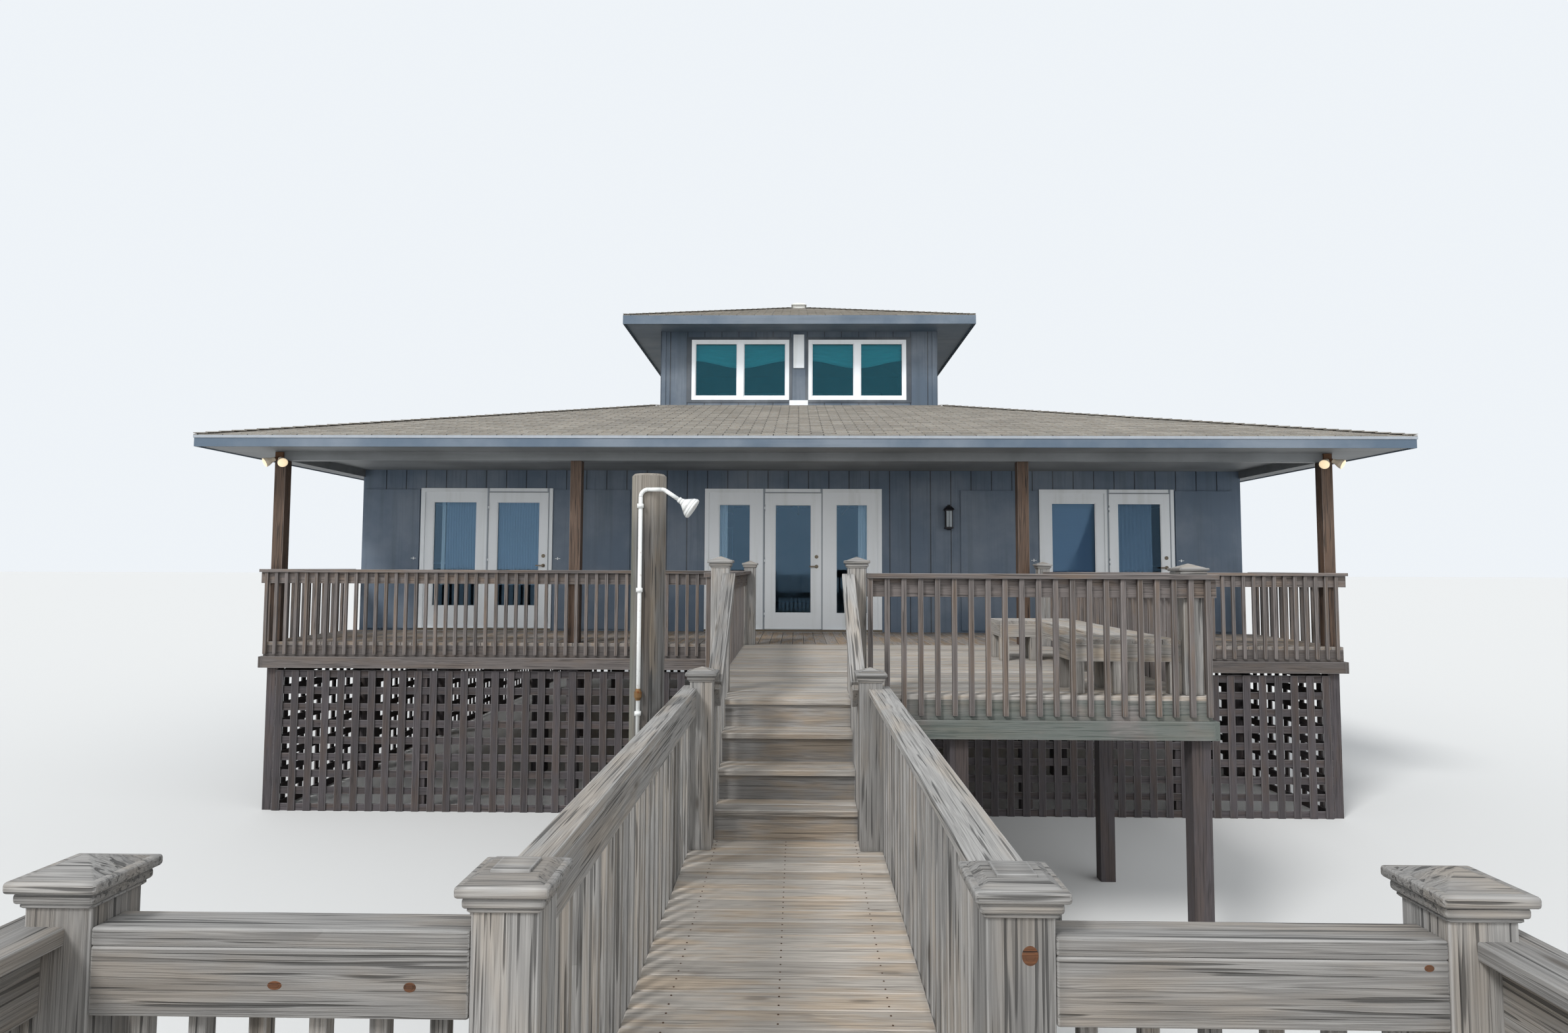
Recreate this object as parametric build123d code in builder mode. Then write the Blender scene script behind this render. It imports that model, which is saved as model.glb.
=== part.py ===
"""Timber beach house on piles: hip roof with a glazed cupola, a front porch with three glazed
door units, a sun deck, a stair, and a raised walkway that ends in a railed platform.

Millimetres, +Z up. The house front looks towards -Y. The origin is on the ground, on the axis
of the house, in the middle of its whole length.
"""

import math
import os

from build123d import *

os.makedirs("parts", exist_ok=True)

# Levels
walk_level = 1320
riser_height = 195
riser_count = 4
pile_drop = 320
eave_over_deck = 2545
beam_over_deck = 2310
upper_floor_over_deck = 2700
cupola_eave_over_deck = 5286

# House plan
house_width = 13200
house_depth = 11480
wall_thick = 140
porch_depth = 2080
porch_overhang = 600
side_overhang = 780
porch_post_margin = 120

# Roofs
roof_pitch = 0.26
roof_thick = 115
fascia_thick = 25
fascia_height = 140
soffit_thick = 19
cupola_width = 4880
cupola_overhang = 590
cupola_pitch = 0.34
cupola_fascia_height = 150
apex_size = 240
cap_base_height = 70
cap_lid_size = 310
cap_lid_height = 55
cap_lid_top = 180
seam = 0.4

# Floors and foundation
floor_thick = 40
girder_width = 140
pile_size = 200
pile_columns = 6
pile_rows = 5
pile_inset = 38
upper_floor_thick = 30
upper_joist_width = 45
upper_joist_depth = 230
upper_joist_pitch = 610

# Timber sizes
post_size = 140
board_thick = 38
rim_depth = 285
joist_pitch = 610
band_drop = 185
band_height = 140

# Railings
rail_height = 914
walk_rail_height = 985
baluster_size = 38
baluster_pitch = 127
baluster_drop = 155
cap_board_width = 140
cap_board_proud = 17
edge_board_height = 140
post_top_over_rail = 49
post_collar_size = 172
post_collar_height = 24
post_plate_size = 196
post_plate_height = 25
post_peak_size = 6
post_peak_height = 28
post_crown_size = 124
post_crown_height = 11
post_crown_square = 84
post_crown_raise = 6
corner_collar_size = 196
corner_plate_size = 240
corner_peak_height = 34

# Walkway, stair, sun deck and platform
walk_axis = -75
walk_clear = 914
walkway_length = 3660
platform_width = 3050
platform_depth = 3050
stair_run = 250
top_tread_depth = 300
tread_thick = 38
nosing = 25
riser_thick = 19
stair_to_post = 38
stringer_seat = 297
stair_cap_width = 95
stair_cap_drop = 20
sun_deck_depth = 4354
sun_deck_right = 3110
pier_inset = 1905

# Porch
porch_post_inner = 2840

# Door units
opening_height = 2120
casing_proud = 25
casing_lap = 20
sill_height = 40
sill_proud = 40
jamb_width = 40
mullion_width = 60
leaf_thick = 45
door_gap = 5
panel_setback = 20
stop_width = 12
stop_depth = 25
glass_thick = 12
middle_unit_x = -77.5
middle_opening = 2617
middle_cell = 860
left_unit_x = -4705
right_unit_x = 4600
side_opening = 1960
side_stile = 125
side_top_rail = 140
side_kick_rail = 320
middle_stile = 150
middle_top_rail = 170
middle_kick_rail = 230

# Hinges and handles
knuckle_radius = 8
knuckle_half = 17.5
knuckle_gap = 0.5
frame_knuckle_reach = 50
pin_radius = 4.5
bore_radius = 5.3
hinge_plate_width = 30
hinge_plate_thick = 3
hinge_inset = 230
handle_level = 975
deadbolt_level = 1120
rose_radius = 28
rose_thick = 10
rose_sides = 12
lever_length = 115
lever_width = 20
lever_thick = 14
lever_reach = 50

# Windows
window_width = 1735
window_height = 1081
window_frame = 60
window_mullion = 110
window_frame_depth = 90
window_proud = 15
cupola_window_offset = 1038
cupola_sill_over_deck = 3928
house_window_offset = 2700
house_sill_over_deck = 1000

# Shutters, lights and plaque
shutter_thick = 25
shutter_gap = 20
shutter_foot = 30
shutter_outer_width = 840
shutter_inner_width = 1150
lantern_x = 2240
lantern_level = 1525
lantern_width = 160
lantern_depth = 150
lantern_height = 390
lantern_plate_width = 80
lantern_plate_inset = 80
flood_plate = 100
flood_socket_height = 33
flood_socket_seat = 1
flood_splay = 0.62
flood_droop = 0.45
flood_lamp_radius = 62
flood_neck_radius = 30
flood_length = 140
flood_arm_radius = 12
flood_arm_length = 60
flood_sides = 12
flood_level = 2312
plaque_width = 190
plaque_height = 600
plaque_thick = 25
plaque_rim = 14
plaque_recess = 8
plaque_level = 4500
box_width = 330
box_height = 90
box_level = 3830

# Lattice skirt
slat_width = 89
slat_thick = 19
slat_pitch = 195
slat_rows = 9

# Bench
bench_depth = 430
bench_height = 415
bench_seat_thick = 38
bench_apron = 132
bench_leg = 90
bench_length = 2850
bench_return = 400
bench_return_depth = 450
bench_wall_gap = 180
bench_front_gap = 92

# Outdoor shower
shower_radius = 93
shower_height = 2240
shower_from_end = 1200
shower_chamfer = 12
shower_gap = 0.3
pipe_radius = 11
pipe_sides = 8
pipe_side = 28
pipe_foot = 750
pipe_top = 2149
valve_level = 1030
valve_radius = 21
valve_height = 60
arm_length = 124
arm_drop = 60
arm_reach = 90
bend_radius = 40
head_radius = 59
head_neck = 15
head_length = 85
head_sides = 12

# Levels worked out from the sizes above
deck_level = walk_level + riser_count * riser_height
pile_top = deck_level - pile_drop
eave_level = deck_level + eave_over_deck
beam_bottom = deck_level + beam_over_deck
upper_floor_level = deck_level + upper_floor_over_deck
opening_top = deck_level + opening_height
cupola_eave = deck_level + cupola_eave_over_deck

# Places along the length, as distances ahead of the front wall
rail_reach = baluster_size + cap_board_proud
deck_reach = porch_depth + board_thick
sun_reach = deck_reach + sun_deck_depth
stair_reach = sun_reach + top_tread_depth + (riser_count - 1) * stair_run
foot_post_reach = stair_reach + stair_to_post
walk_reach = foot_post_reach + walkway_length
platform_reach = walk_reach + platform_depth
roof_width = house_width + 2 * side_overhang
back_reach = roof_width - porch_depth - porch_overhang

house_front = (platform_reach + rail_reach - back_reach) / 2
house_back = house_front + house_depth
house_middle = (house_front + house_back) / 2
porch_rim = house_front - deck_reach
sun_front = house_front - sun_reach
stair_foot = house_front - stair_reach
post_back = house_front - foot_post_reach
walk_near = house_front - walk_reach
platform_near = house_front - platform_reach
roof_front = house_front - porch_depth - porch_overhang
roof_middle = roof_front + roof_width / 2

# Half widths
roof_half = roof_width / 2
house_half = house_width / 2
cupola_half = cupola_width / 2
cupola_eave_half = cupola_half + cupola_overhang
porch_post_outer = house_half + porch_post_margin - post_size / 2
porch_half = house_half + porch_post_margin + board_thick
walk_half = walk_clear / 2 + post_size
rail_post = walk_half - post_size / 2
platform_half = platform_width / 2
walk_left = walk_axis - walk_half
walk_right = walk_axis + walk_half
platform_left = walk_axis - platform_half
platform_right = walk_axis + platform_half
sun_left = walk_left
sun_right = sun_deck_right
cap_inside = cap_board_width - rail_reach

# Roof surfaces
roof_rise = roof_pitch * (roof_half - cupola_half)
cupola_base = eave_level + roof_rise
soffit_top = eave_level + roof_pitch * fascia_thick - roof_thick
cupola_soffit_top = cupola_eave + cupola_pitch * fascia_thick - roof_thick
apex_level = cupola_eave + cupola_pitch * (cupola_eave_half - apex_size / 2)
cupola_wall_top = cupola_eave + cupola_pitch * cupola_overhang - roof_thick


def level_plane(z):
    return Plane.XY.offset(z)


def front_plane(y):
    """Upright plane at y that looks towards -Y, with X and Z as its own axes."""
    return Plane.XZ.offset(-y)


def side_plane(x):
    """Upright plane at x that looks towards +X, with Y and Z as its own axes."""
    return Plane.YZ.offset(x)


def strip(x_low, x_high, y_low, y_high, mode=Mode.ADD):
    """Rectangle between two corners, in the sketch that is open."""
    with Locations(((x_low + x_high) / 2, (y_low + y_high) / 2)):
        Rectangle(x_high - x_low, y_high - y_low, mode=mode)


def slab(x_low, x_high, y_low, y_high, z_low, z_high, mode=Mode.ADD):
    """Board between two corners, in the part that is open."""
    with BuildSketch(level_plane(z_low)) as outline:
        strip(x_low, x_high, y_low, y_high)
    extrude(outline.sketch, amount=z_high - z_low, mode=mode)


def column(points, size, z_low, z_high, mode=Mode.ADD):
    """Square timbers upright on a list of points, in the part that is open."""
    with BuildSketch(level_plane(z_low)) as outline:
        with Locations(*points):
            Rectangle(size, size)
    extrude(outline.sketch, amount=z_high - z_low, mode=mode)


def mitre_cuts(half, y_middle, z_low, z_high, reach):
    """Cuts along the diagonals at the corners of a square ring, in the part that is open."""
    with BuildSketch(level_plane(z_low)) as cuts:
        for x_side in (-1, 1):
            for y_side in (-1, 1):
                with Locations((x_side * half, y_middle + y_side * half)):
                    Rectangle(2 * reach, seam, rotation=45 * x_side * y_side)
    extrude(cuts.sketch, amount=z_high - z_low, mode=Mode.SUBTRACT)


# Space under the main roof, which trims the tops of the walls
with BuildPart() as roof_space:
    with BuildSketch(level_plane(eave_level - roof_thick)) as roof_foot:
        with Locations((0, roof_middle)):
            Rectangle(roof_width, roof_width)
    with BuildSketch(level_plane(cupola_base - roof_thick)):
        with Locations((0, roof_middle)):
            Rectangle(cupola_width, cupola_width)
    loft()
    extrude(roof_foot.sketch, amount=roof_thick - eave_level)

# Piles and the floor that they carry
pile_span_x = house_width - 2 * pile_inset - pile_size
pile_span_y = house_depth - 2 * pile_inset - pile_size
pile_pitch_x = pile_span_x / (pile_columns - 1)
pile_pitch_y = pile_span_y / (pile_rows - 1)
with BuildPart() as foundation_piles:
    with BuildSketch(level_plane(0)):
        with Locations((0, house_middle)):
            with GridLocations(pile_pitch_x, pile_pitch_y, pile_columns, pile_rows):
                Rectangle(pile_size, pile_size)
    extrude(amount=pile_top)

inner_half = house_half - wall_thick
inner_back = house_back - wall_thick
floor_length = inner_back - house_front
with BuildPart() as house_floor:
    slab(-inner_half, inner_half, house_front, inner_back, deck_level - floor_thick,
         deck_level)
    with BuildSketch(level_plane(pile_top)):
        with Locations((0, house_front + floor_length / 2)):
            with GridLocations((2 * inner_half - girder_width) / (pile_columns - 1), 0,
                               pile_columns, 1):
                Rectangle(girder_width, floor_length)
    extrude(amount=pile_drop - floor_thick)


# Walls, cut by their windows and trimmed by the roof above
house_window_middle = deck_level + house_sill_over_deck + window_height / 2
cupola_window_middle = deck_level + cupola_sill_over_deck + window_height / 2


def side_wall(x_low):
    """One side wall over the whole depth of the house, in the part that is open."""
    slab(x_low, x_low + wall_thick, house_front, house_back, pile_top, cupola_base)
    add(roof_space.part, mode=Mode.INTERSECT)
    with BuildSketch(side_plane(x_low)) as windows:
        with Locations((house_middle, house_window_middle)):
            with GridLocations(2 * house_window_offset, 0, 2, 1):
                Rectangle(window_width, window_height)
    extrude(windows.sketch, amount=wall_thick, mode=Mode.SUBTRACT)


with BuildPart() as left_wall:
    side_wall(-house_half)

with BuildPart() as right_wall:
    side_wall(inner_half)

with BuildPart() as back_wall:
    slab(-inner_half, inner_half, inner_back, house_back, pile_top, cupola_base)
    add(roof_space.part, mode=Mode.INTERSECT)
    with BuildSketch(front_plane(house_back)):
        with Locations((0, house_window_middle)):
            with GridLocations(2 * house_window_offset, 0, 2, 1):
                Rectangle(window_width, window_height)
    extrude(amount=wall_thick, mode=Mode.SUBTRACT)

# Front wall: piers between the door openings and one head over them
openings = (
    (left_unit_x, side_opening),
    (middle_unit_x, middle_opening),
    (right_unit_x, side_opening),
)
wall_front_inside = house_front + wall_thick
with BuildPart() as front_wall:
    with BuildSketch(level_plane(deck_level)):
        strip(-inner_half, inner_half, house_front, wall_front_inside)
        for middle, width in openings:
            strip(middle - width / 2, middle + width / 2, house_front, wall_front_inside,
                  mode=Mode.SUBTRACT)
    extrude(amount=opening_height)

with BuildPart() as front_wall_head:
    slab(-inner_half, inner_half, house_front, wall_front_inside, opening_top, cupola_base)
    add(roof_space.part, mode=Mode.INTERSECT)

with BuildPart() as upper_floor:
    joist_count = math.floor(2 * inner_half / upper_joist_pitch)
    slab(-inner_half, inner_half, wall_front_inside, inner_back,
         upper_floor_level - upper_floor_thick, upper_floor_level)
    with BuildSketch(level_plane(upper_floor_level - upper_floor_thick)):
        with Locations((0, (wall_front_inside + inner_back) / 2)):
            with GridLocations(upper_joist_pitch, 0, joist_count, 1):
                Rectangle(upper_joist_width, inner_back - wall_front_inside)
    extrude(amount=-upper_joist_depth)
    add(roof_space.part, mode=Mode.INTERSECT)


# Roof shells with plumb-cut eaves, and the trim under their edges
def hip_shell(foot_half, top_half, eave, crown):
    """Shell of a square hip roof up to a flat crown, in the part that is open."""
    for drop, mode in ((0, Mode.ADD), (roof_thick, Mode.SUBTRACT)):
        with BuildSketch(level_plane(eave - drop)) as foot:
            with Locations((0, roof_middle)):
                Rectangle(2 * foot_half, 2 * foot_half)
        with BuildSketch(level_plane(crown - drop)) as top:
            with Locations((0, roof_middle)):
                Rectangle(2 * top_half, 2 * top_half)
        loft([foot.sketch, top.sketch], mode=mode)
        if mode == Mode.ADD:
            extrude(foot.sketch, amount=-roof_thick)


with BuildPart() as main_roof:
    hip_shell(roof_half - fascia_thick, cupola_half, eave_level + roof_pitch * fascia_thick,
              cupola_base)
    slab(-cupola_half, cupola_half, roof_middle - cupola_half, roof_middle + cupola_half,
         eave_level, cupola_base, mode=Mode.SUBTRACT)

with BuildPart() as cupola_roof:
    hip_shell(cupola_eave_half - fascia_thick, apex_size / 2,
              cupola_eave + cupola_pitch * fascia_thick, apex_level)

with BuildPart() as roof_cap:
    column([(0, roof_middle)], apex_size, apex_level, apex_level + cap_base_height)
    with BuildSketch(level_plane(apex_level + cap_base_height)):
        with Locations((0, roof_middle)):
            Rectangle(cap_lid_size, cap_lid_size)
    with BuildSketch(level_plane(apex_level + cap_base_height + cap_lid_height)):
        with Locations((0, roof_middle)):
            Rectangle(cap_lid_top, cap_lid_top)
    loft()


def square_ring(half, width):
    """Square ring inside an outline round the roof's middle, in the sketch that is open."""
    with Locations((0, roof_middle)):
        Rectangle(2 * half, 2 * half)
        Rectangle(2 * (half - width), 2 * (half - width), mode=Mode.SUBTRACT)


with BuildPart() as eave_fascia:
    with BuildSketch(level_plane(eave_level)):
        square_ring(roof_half, fascia_thick)
    extrude(amount=-fascia_height)
    mitre_cuts(roof_half, roof_middle, eave_level - fascia_height, eave_level,
               3 * fascia_thick)

with BuildPart() as cupola_eaves:
    with BuildSketch(level_plane(cupola_eave)):
        square_ring(cupola_eave_half, fascia_thick)
    extrude(amount=-cupola_fascia_height)
    with BuildSketch(level_plane(cupola_soffit_top)):
        square_ring(cupola_eave_half - fascia_thick, cupola_overhang - fascia_thick)
    extrude(amount=-soffit_thick)
    mitre_cuts(cupola_eave_half, roof_middle, cupola_eave - cupola_fascia_height, cupola_eave,
               2 * cupola_overhang)

# Porch beams, which stop where their outer faces meet the underside of the roof
beam_half = porch_post_outer + post_size / 2
beam_front = house_front - porch_depth
front_beam_top = eave_level + roof_pitch * (beam_front - roof_front) - roof_thick
side_beam_top = eave_level + roof_pitch * (roof_half - beam_half) - roof_thick
with BuildPart() as porch_beams:
    slab(-beam_half, beam_half, beam_front, beam_front + post_size, beam_bottom,
         front_beam_top)
    for side in (-1, 1):
        inner, outer = sorted((side * (beam_half - post_size), side * beam_half))
        slab(inner, outer, beam_front + post_size + seam, house_front, beam_bottom,
             side_beam_top)

with BuildPart() as soffit:
    with BuildSketch(level_plane(soffit_top)):
        with Locations((0, roof_middle)):
            Rectangle(roof_width - 2 * fascia_thick, roof_width - 2 * fascia_thick)
        strip(-house_half, house_half, house_front, house_back, mode=Mode.SUBTRACT)
        strip(-beam_half, beam_half, beam_front, house_front, mode=Mode.SUBTRACT)
        strip(post_size - beam_half, beam_half - post_size, beam_front + post_size,
              house_front)
    extrude(amount=-soffit_thick)
    mitre_cuts(roof_half, roof_middle, soffit_top - soffit_thick, soffit_top,
               2 * side_overhang)

# Cupola walls with two twin windows on each side
with BuildPart() as cupola_walls:
    for side in (-1, 1):
        outer = roof_middle + side * cupola_half
        low, high = sorted((outer, outer - side * wall_thick))
        slab(-cupola_half, cupola_half, low, high, upper_floor_level, cupola_wall_top)
        low, high = sorted((side * cupola_half, side * (cupola_half - wall_thick)))
        slab(low, high, roof_middle - cupola_half + wall_thick + seam,
             roof_middle + cupola_half - wall_thick - seam, upper_floor_level,
             cupola_wall_top)
    with BuildSketch(front_plane(roof_middle + cupola_half)):
        with Locations((0, cupola_window_middle)):
            with GridLocations(2 * cupola_window_offset, 0, 2, 1):
                Rectangle(window_width, window_height)
    extrude(amount=cupola_width, mode=Mode.SUBTRACT)
    with BuildSketch(side_plane(-cupola_half)):
        with Locations((roof_middle, cupola_window_middle)):
            with GridLocations(2 * cupola_window_offset, 0, 2, 1):
                Rectangle(window_width, window_height)
    extrude(amount=cupola_width, mode=Mode.SUBTRACT)

# Windows: each wall that has them, as the middle of its outer face, its direction to the
# right and how far the windows stand from the middle
pane_width = (window_width - 2 * window_frame - window_mullion) / 2
pane_height = window_height - 2 * window_frame
pane_shift = (pane_width + window_mullion) / 2
cupola_front = roof_middle - cupola_half
cupola_back = roof_middle + cupola_half
window_walls = (
    ((0, cupola_front, cupola_window_middle), (1, 0, 0), cupola_window_offset),
    ((0, cupola_back, cupola_window_middle), (-1, 0, 0), cupola_window_offset),
    ((-cupola_half, roof_middle, cupola_window_middle), (0, -1, 0), cupola_window_offset),
    ((cupola_half, roof_middle, cupola_window_middle), (0, 1, 0), cupola_window_offset),
    ((0, house_back, house_window_middle), (-1, 0, 0), house_window_offset),
    ((-house_half, house_middle, house_window_middle), (0, -1, 0), house_window_offset),
    ((house_half, house_middle, house_window_middle), (0, 1, 0), house_window_offset),
)


def wall_plane(centre, along):
    """Plane on the outer face of a wall, with its normal pointing out and Z upwards."""
    return Plane(origin=centre, x_dir=along, z_dir=Vector(*along).cross(Vector(0, 0, 1)))


with BuildPart() as window_frames:
    for centre, along, spread in window_walls:
        with BuildSketch(wall_plane(centre, along).offset(window_proud)):
            with GridLocations(2 * spread, 0, 2, 1):
                Rectangle(window_width, window_height)
            for side in (-1, 1):
                with Locations((side * spread, 0)):
                    with GridLocations(2 * pane_shift, 0, 2, 1):
                        Rectangle(pane_width, pane_height, mode=Mode.SUBTRACT)
        extrude(amount=-window_frame_depth)

with BuildPart() as window_glass:
    for centre, along, spread in window_walls:
        with BuildSketch(wall_plane(centre, along).offset(-window_frame_depth / 2)):
            for side in (-1, 1):
                with Locations((side * spread, 0)):
                    with GridLocations(2 * pane_shift, 0, 2, 1):
                        Rectangle(pane_width, pane_height)
        extrude(amount=glass_thick)


# Door units
leaf_front = house_front - casing_proud
panel_front = leaf_front + panel_setback
cell_bottom = deck_level + sill_height
cell_top = opening_top - jamb_width
hinge_y = leaf_front - knuckle_radius
hinge_levels = (
    cell_bottom + hinge_inset,
    (cell_bottom + cell_top) / 2,
    cell_top - hinge_inset,
)


class DoorUnit:
    """One glazed unit: where it stands, its cells from left to right and its timber widths.
    The leaf fills the cell with the active number."""

    def __init__(self, middle, opening, centre_cell, stile, top_rail, kick_rail):
        self.low = middle - opening / 2
        self.high = middle + opening / 2
        self.stile = stile
        self.top_rail = top_rail
        self.kick_rail = kick_rail
        first = self.low + jamb_width
        last = self.high - jamb_width
        half = mullion_width / 2
        self.active = 1
        if centre_cell is None:
            self.cells = [(first, middle - half), (middle + half, last)]
        else:
            reach = centre_cell / 2
            self.cells = [
                (first, middle - reach - mullion_width),
                (middle - reach, middle + reach),
                (middle + reach + mullion_width, last),
            ]

    def fixed_cells(self):
        return [cell for index, cell in enumerate(self.cells) if index != self.active]

    def leaf_cell(self):
        return self.cells[self.active]

    def hinge_x(self):
        return self.leaf_cell()[0] + door_gap / 2


def panel(unit, cell, gap, front):
    """Glazed timber panel inside one cell, in the part that is open."""
    with BuildSketch(front_plane(front)) as outline:
        strip(cell[0] + gap, cell[1] - gap, cell_bottom + gap, cell_top - gap)
        strip(cell[0] + gap + unit.stile, cell[1] - gap - unit.stile,
              cell_bottom + gap + unit.kick_rail, cell_top - gap - unit.top_rail,
              mode=Mode.SUBTRACT)
    extrude(outline.sketch, amount=-leaf_thick)


def pane(unit, cell, gap, front):
    """Sheet of glass inside one panel, in the part that is open."""
    with BuildSketch(front_plane(front + (leaf_thick - glass_thick) / 2)) as outline:
        strip(cell[0] + gap + unit.stile, cell[1] - gap - unit.stile,
              cell_bottom + gap + unit.kick_rail, cell_top - gap - unit.top_rail)
    extrude(outline.sketch, amount=-glass_thick)


def knuckle(unit, level, z_low, z_high, side):
    """Knuckle with its plate on one side of the hinge line, in the part that is open."""
    axis = unit.hinge_x()
    low, high = sorted((axis, axis + side * hinge_plate_width))
    with BuildSketch(level_plane(level + z_low)) as outline:
        with Locations((axis, hinge_y)):
            Circle(knuckle_radius)
        strip(low, high, leaf_front - hinge_plate_thick, leaf_front)
    extrude(outline.sketch, amount=z_high - z_low)


def hinge_pins(unit, radius, reach, mode):
    """Pins of the hinges, or the bores that they turn in, in the part that is open."""
    for level in hinge_levels:
        with BuildSketch(level_plane(level - reach)) as outline:
            with Locations((unit.hinge_x(), hinge_y)):
                Circle(radius)
        extrude(outline.sketch, amount=2 * reach, mode=mode)


def door_frame(unit):
    """Sill, jambs, mullions, casing and fixed panels of a unit, in the part that is open."""
    slab(unit.low, unit.high, house_front, wall_front_inside, deck_level, cell_bottom)
    slab(unit.low - casing_lap, unit.high + casing_lap, house_front - sill_proud, house_front,
         deck_level, cell_bottom)
    with BuildSketch(front_plane(leaf_front)) as casing:
        strip(unit.low - casing_lap, unit.high + casing_lap, cell_bottom,
              opening_top + casing_lap)
        for low, high in unit.cells:
            strip(low, high, cell_bottom, cell_top, mode=Mode.SUBTRACT)
    extrude(casing.sketch, amount=-casing_proud)
    with BuildSketch(front_plane(house_front)) as jambs:
        strip(unit.low, unit.high, cell_bottom, opening_top)
        for low, high in unit.cells:
            strip(low, high, cell_bottom, cell_top, mode=Mode.SUBTRACT)
    extrude(jambs.sketch, amount=-wall_thick)
    for cell in unit.fixed_cells():
        panel(unit, cell, 0, panel_front)
    low, high = unit.leaf_cell()
    with BuildSketch(front_plane(leaf_front + leaf_thick + door_gap)) as stops:
        strip(low, high, cell_bottom, cell_top)
        strip(low + stop_width, high - stop_width, cell_bottom, cell_top - stop_width,
              mode=Mode.SUBTRACT)
    extrude(stops.sketch, amount=-stop_depth)
    for level in hinge_levels:
        knuckle(unit, level, knuckle_half + knuckle_gap, frame_knuckle_reach, -1)
        knuckle(unit, level, -frame_knuckle_reach, -knuckle_half - knuckle_gap, -1)
    hinge_pins(unit, pin_radius, knuckle_half + 2 * knuckle_gap, Mode.ADD)


def door_leaf(unit):
    """Glazed leaf with its half of the hinges, in the part that is open."""
    panel(unit, unit.leaf_cell(), door_gap, leaf_front)
    for level in hinge_levels:
        knuckle(unit, level, -knuckle_half, knuckle_half, 1)
    hinge_pins(unit, bore_radius, frame_knuckle_reach, Mode.SUBTRACT)


def door_handle(unit):
    """Lever handles and deadbolt on both faces of a leaf, in the part that is open."""
    handle_x = unit.leaf_cell()[1] - door_gap - unit.stile / 2
    for face, out in ((leaf_front, 1), (leaf_front + leaf_thick, -1)):
        with BuildSketch(front_plane(face)) as roses:
            with Locations((handle_x, deck_level + handle_level),
                           (handle_x, deck_level + deadbolt_level)):
                RegularPolygon(rose_radius, rose_sides)
        extrude(roses.sketch, amount=out * rose_thick)
        with BuildSketch(front_plane(face - out * rose_thick)) as neck:
            with Locations((handle_x, deck_level + handle_level)):
                Rectangle(lever_width, lever_width)
        extrude(neck.sketch, amount=out * (lever_reach - rose_thick))
        with BuildSketch(front_plane(face - out * (lever_reach - lever_thick))) as lever:
            with Locations((handle_x - (lever_length - lever_width) / 2,
                            deck_level + handle_level)):
                Rectangle(lever_length, lever_width)
        extrude(lever.sketch, amount=out * lever_thick)


middle_unit = DoorUnit(middle_unit_x, middle_opening, middle_cell, middle_stile,
                       middle_top_rail, middle_kick_rail)
left_unit = DoorUnit(left_unit_x, side_opening, None, side_stile, side_top_rail,
                     side_kick_rail)
right_unit = DoorUnit(right_unit_x, side_opening, None, side_stile, side_top_rail,
                      side_kick_rail)

with BuildPart() as middle_door_frame:
    door_frame(middle_unit)

with BuildPart() as left_door_frame:
    door_frame(left_unit)

with BuildPart() as right_door_frame:
    door_frame(right_unit)

with BuildPart() as side_panel_glass:
    for unit in (middle_unit, left_unit, right_unit):
        for cell in unit.fixed_cells():
            pane(unit, cell, 0, panel_front)

with BuildPart() as middle_door_leaf:
    door_leaf(middle_unit)

with BuildPart() as middle_door_glass:
    pane(middle_unit, middle_unit.leaf_cell(), door_gap, leaf_front)

with BuildPart() as middle_door_handle:
    door_handle(middle_unit)

with BuildPart() as left_door_leaf:
    door_leaf(left_unit)

with BuildPart() as left_door_glass:
    pane(left_unit, left_unit.leaf_cell(), door_gap, leaf_front)

with BuildPart() as left_door_handle:
    door_handle(left_unit)

with BuildPart() as right_door_leaf:
    door_leaf(right_unit)

with BuildPart() as right_door_glass:
    pane(right_unit, right_unit.leaf_cell(), door_gap, leaf_front)

with BuildPart() as right_door_handle:
    door_handle(right_unit)

# Storm shutters, hooked back flat against the wall beside the outer units
with BuildPart() as storm_shutters:
    with BuildSketch(front_plane(house_front)):
        edge_gap = casing_lap + shutter_gap
        for unit, left_width, right_width in (
            (left_unit, shutter_outer_width, shutter_inner_width),
            (right_unit, shutter_inner_width, shutter_outer_width),
        ):
            strip(unit.low - edge_gap - left_width, unit.low - edge_gap,
                  deck_level + shutter_foot, opening_top)
            strip(unit.high + edge_gap, unit.high + edge_gap + right_width,
                  deck_level + shutter_foot, opening_top)
    extrude(amount=shutter_thick)

# Lights, plaque and low box
with BuildPart() as wall_lanterns:
    lantern_base = deck_level + lantern_level
    for side in (-1, 1):
        x = side * lantern_x
        slab(x - lantern_plate_width / 2, x + lantern_plate_width / 2,
             house_front - shutter_thick, house_front, lantern_base + lantern_plate_inset,
             lantern_base + lantern_height - lantern_plate_inset)
        slab(x - lantern_width / 2, x + lantern_width / 2, house_front - lantern_depth,
             house_front - shutter_thick, lantern_base, lantern_base + lantern_height)

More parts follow.
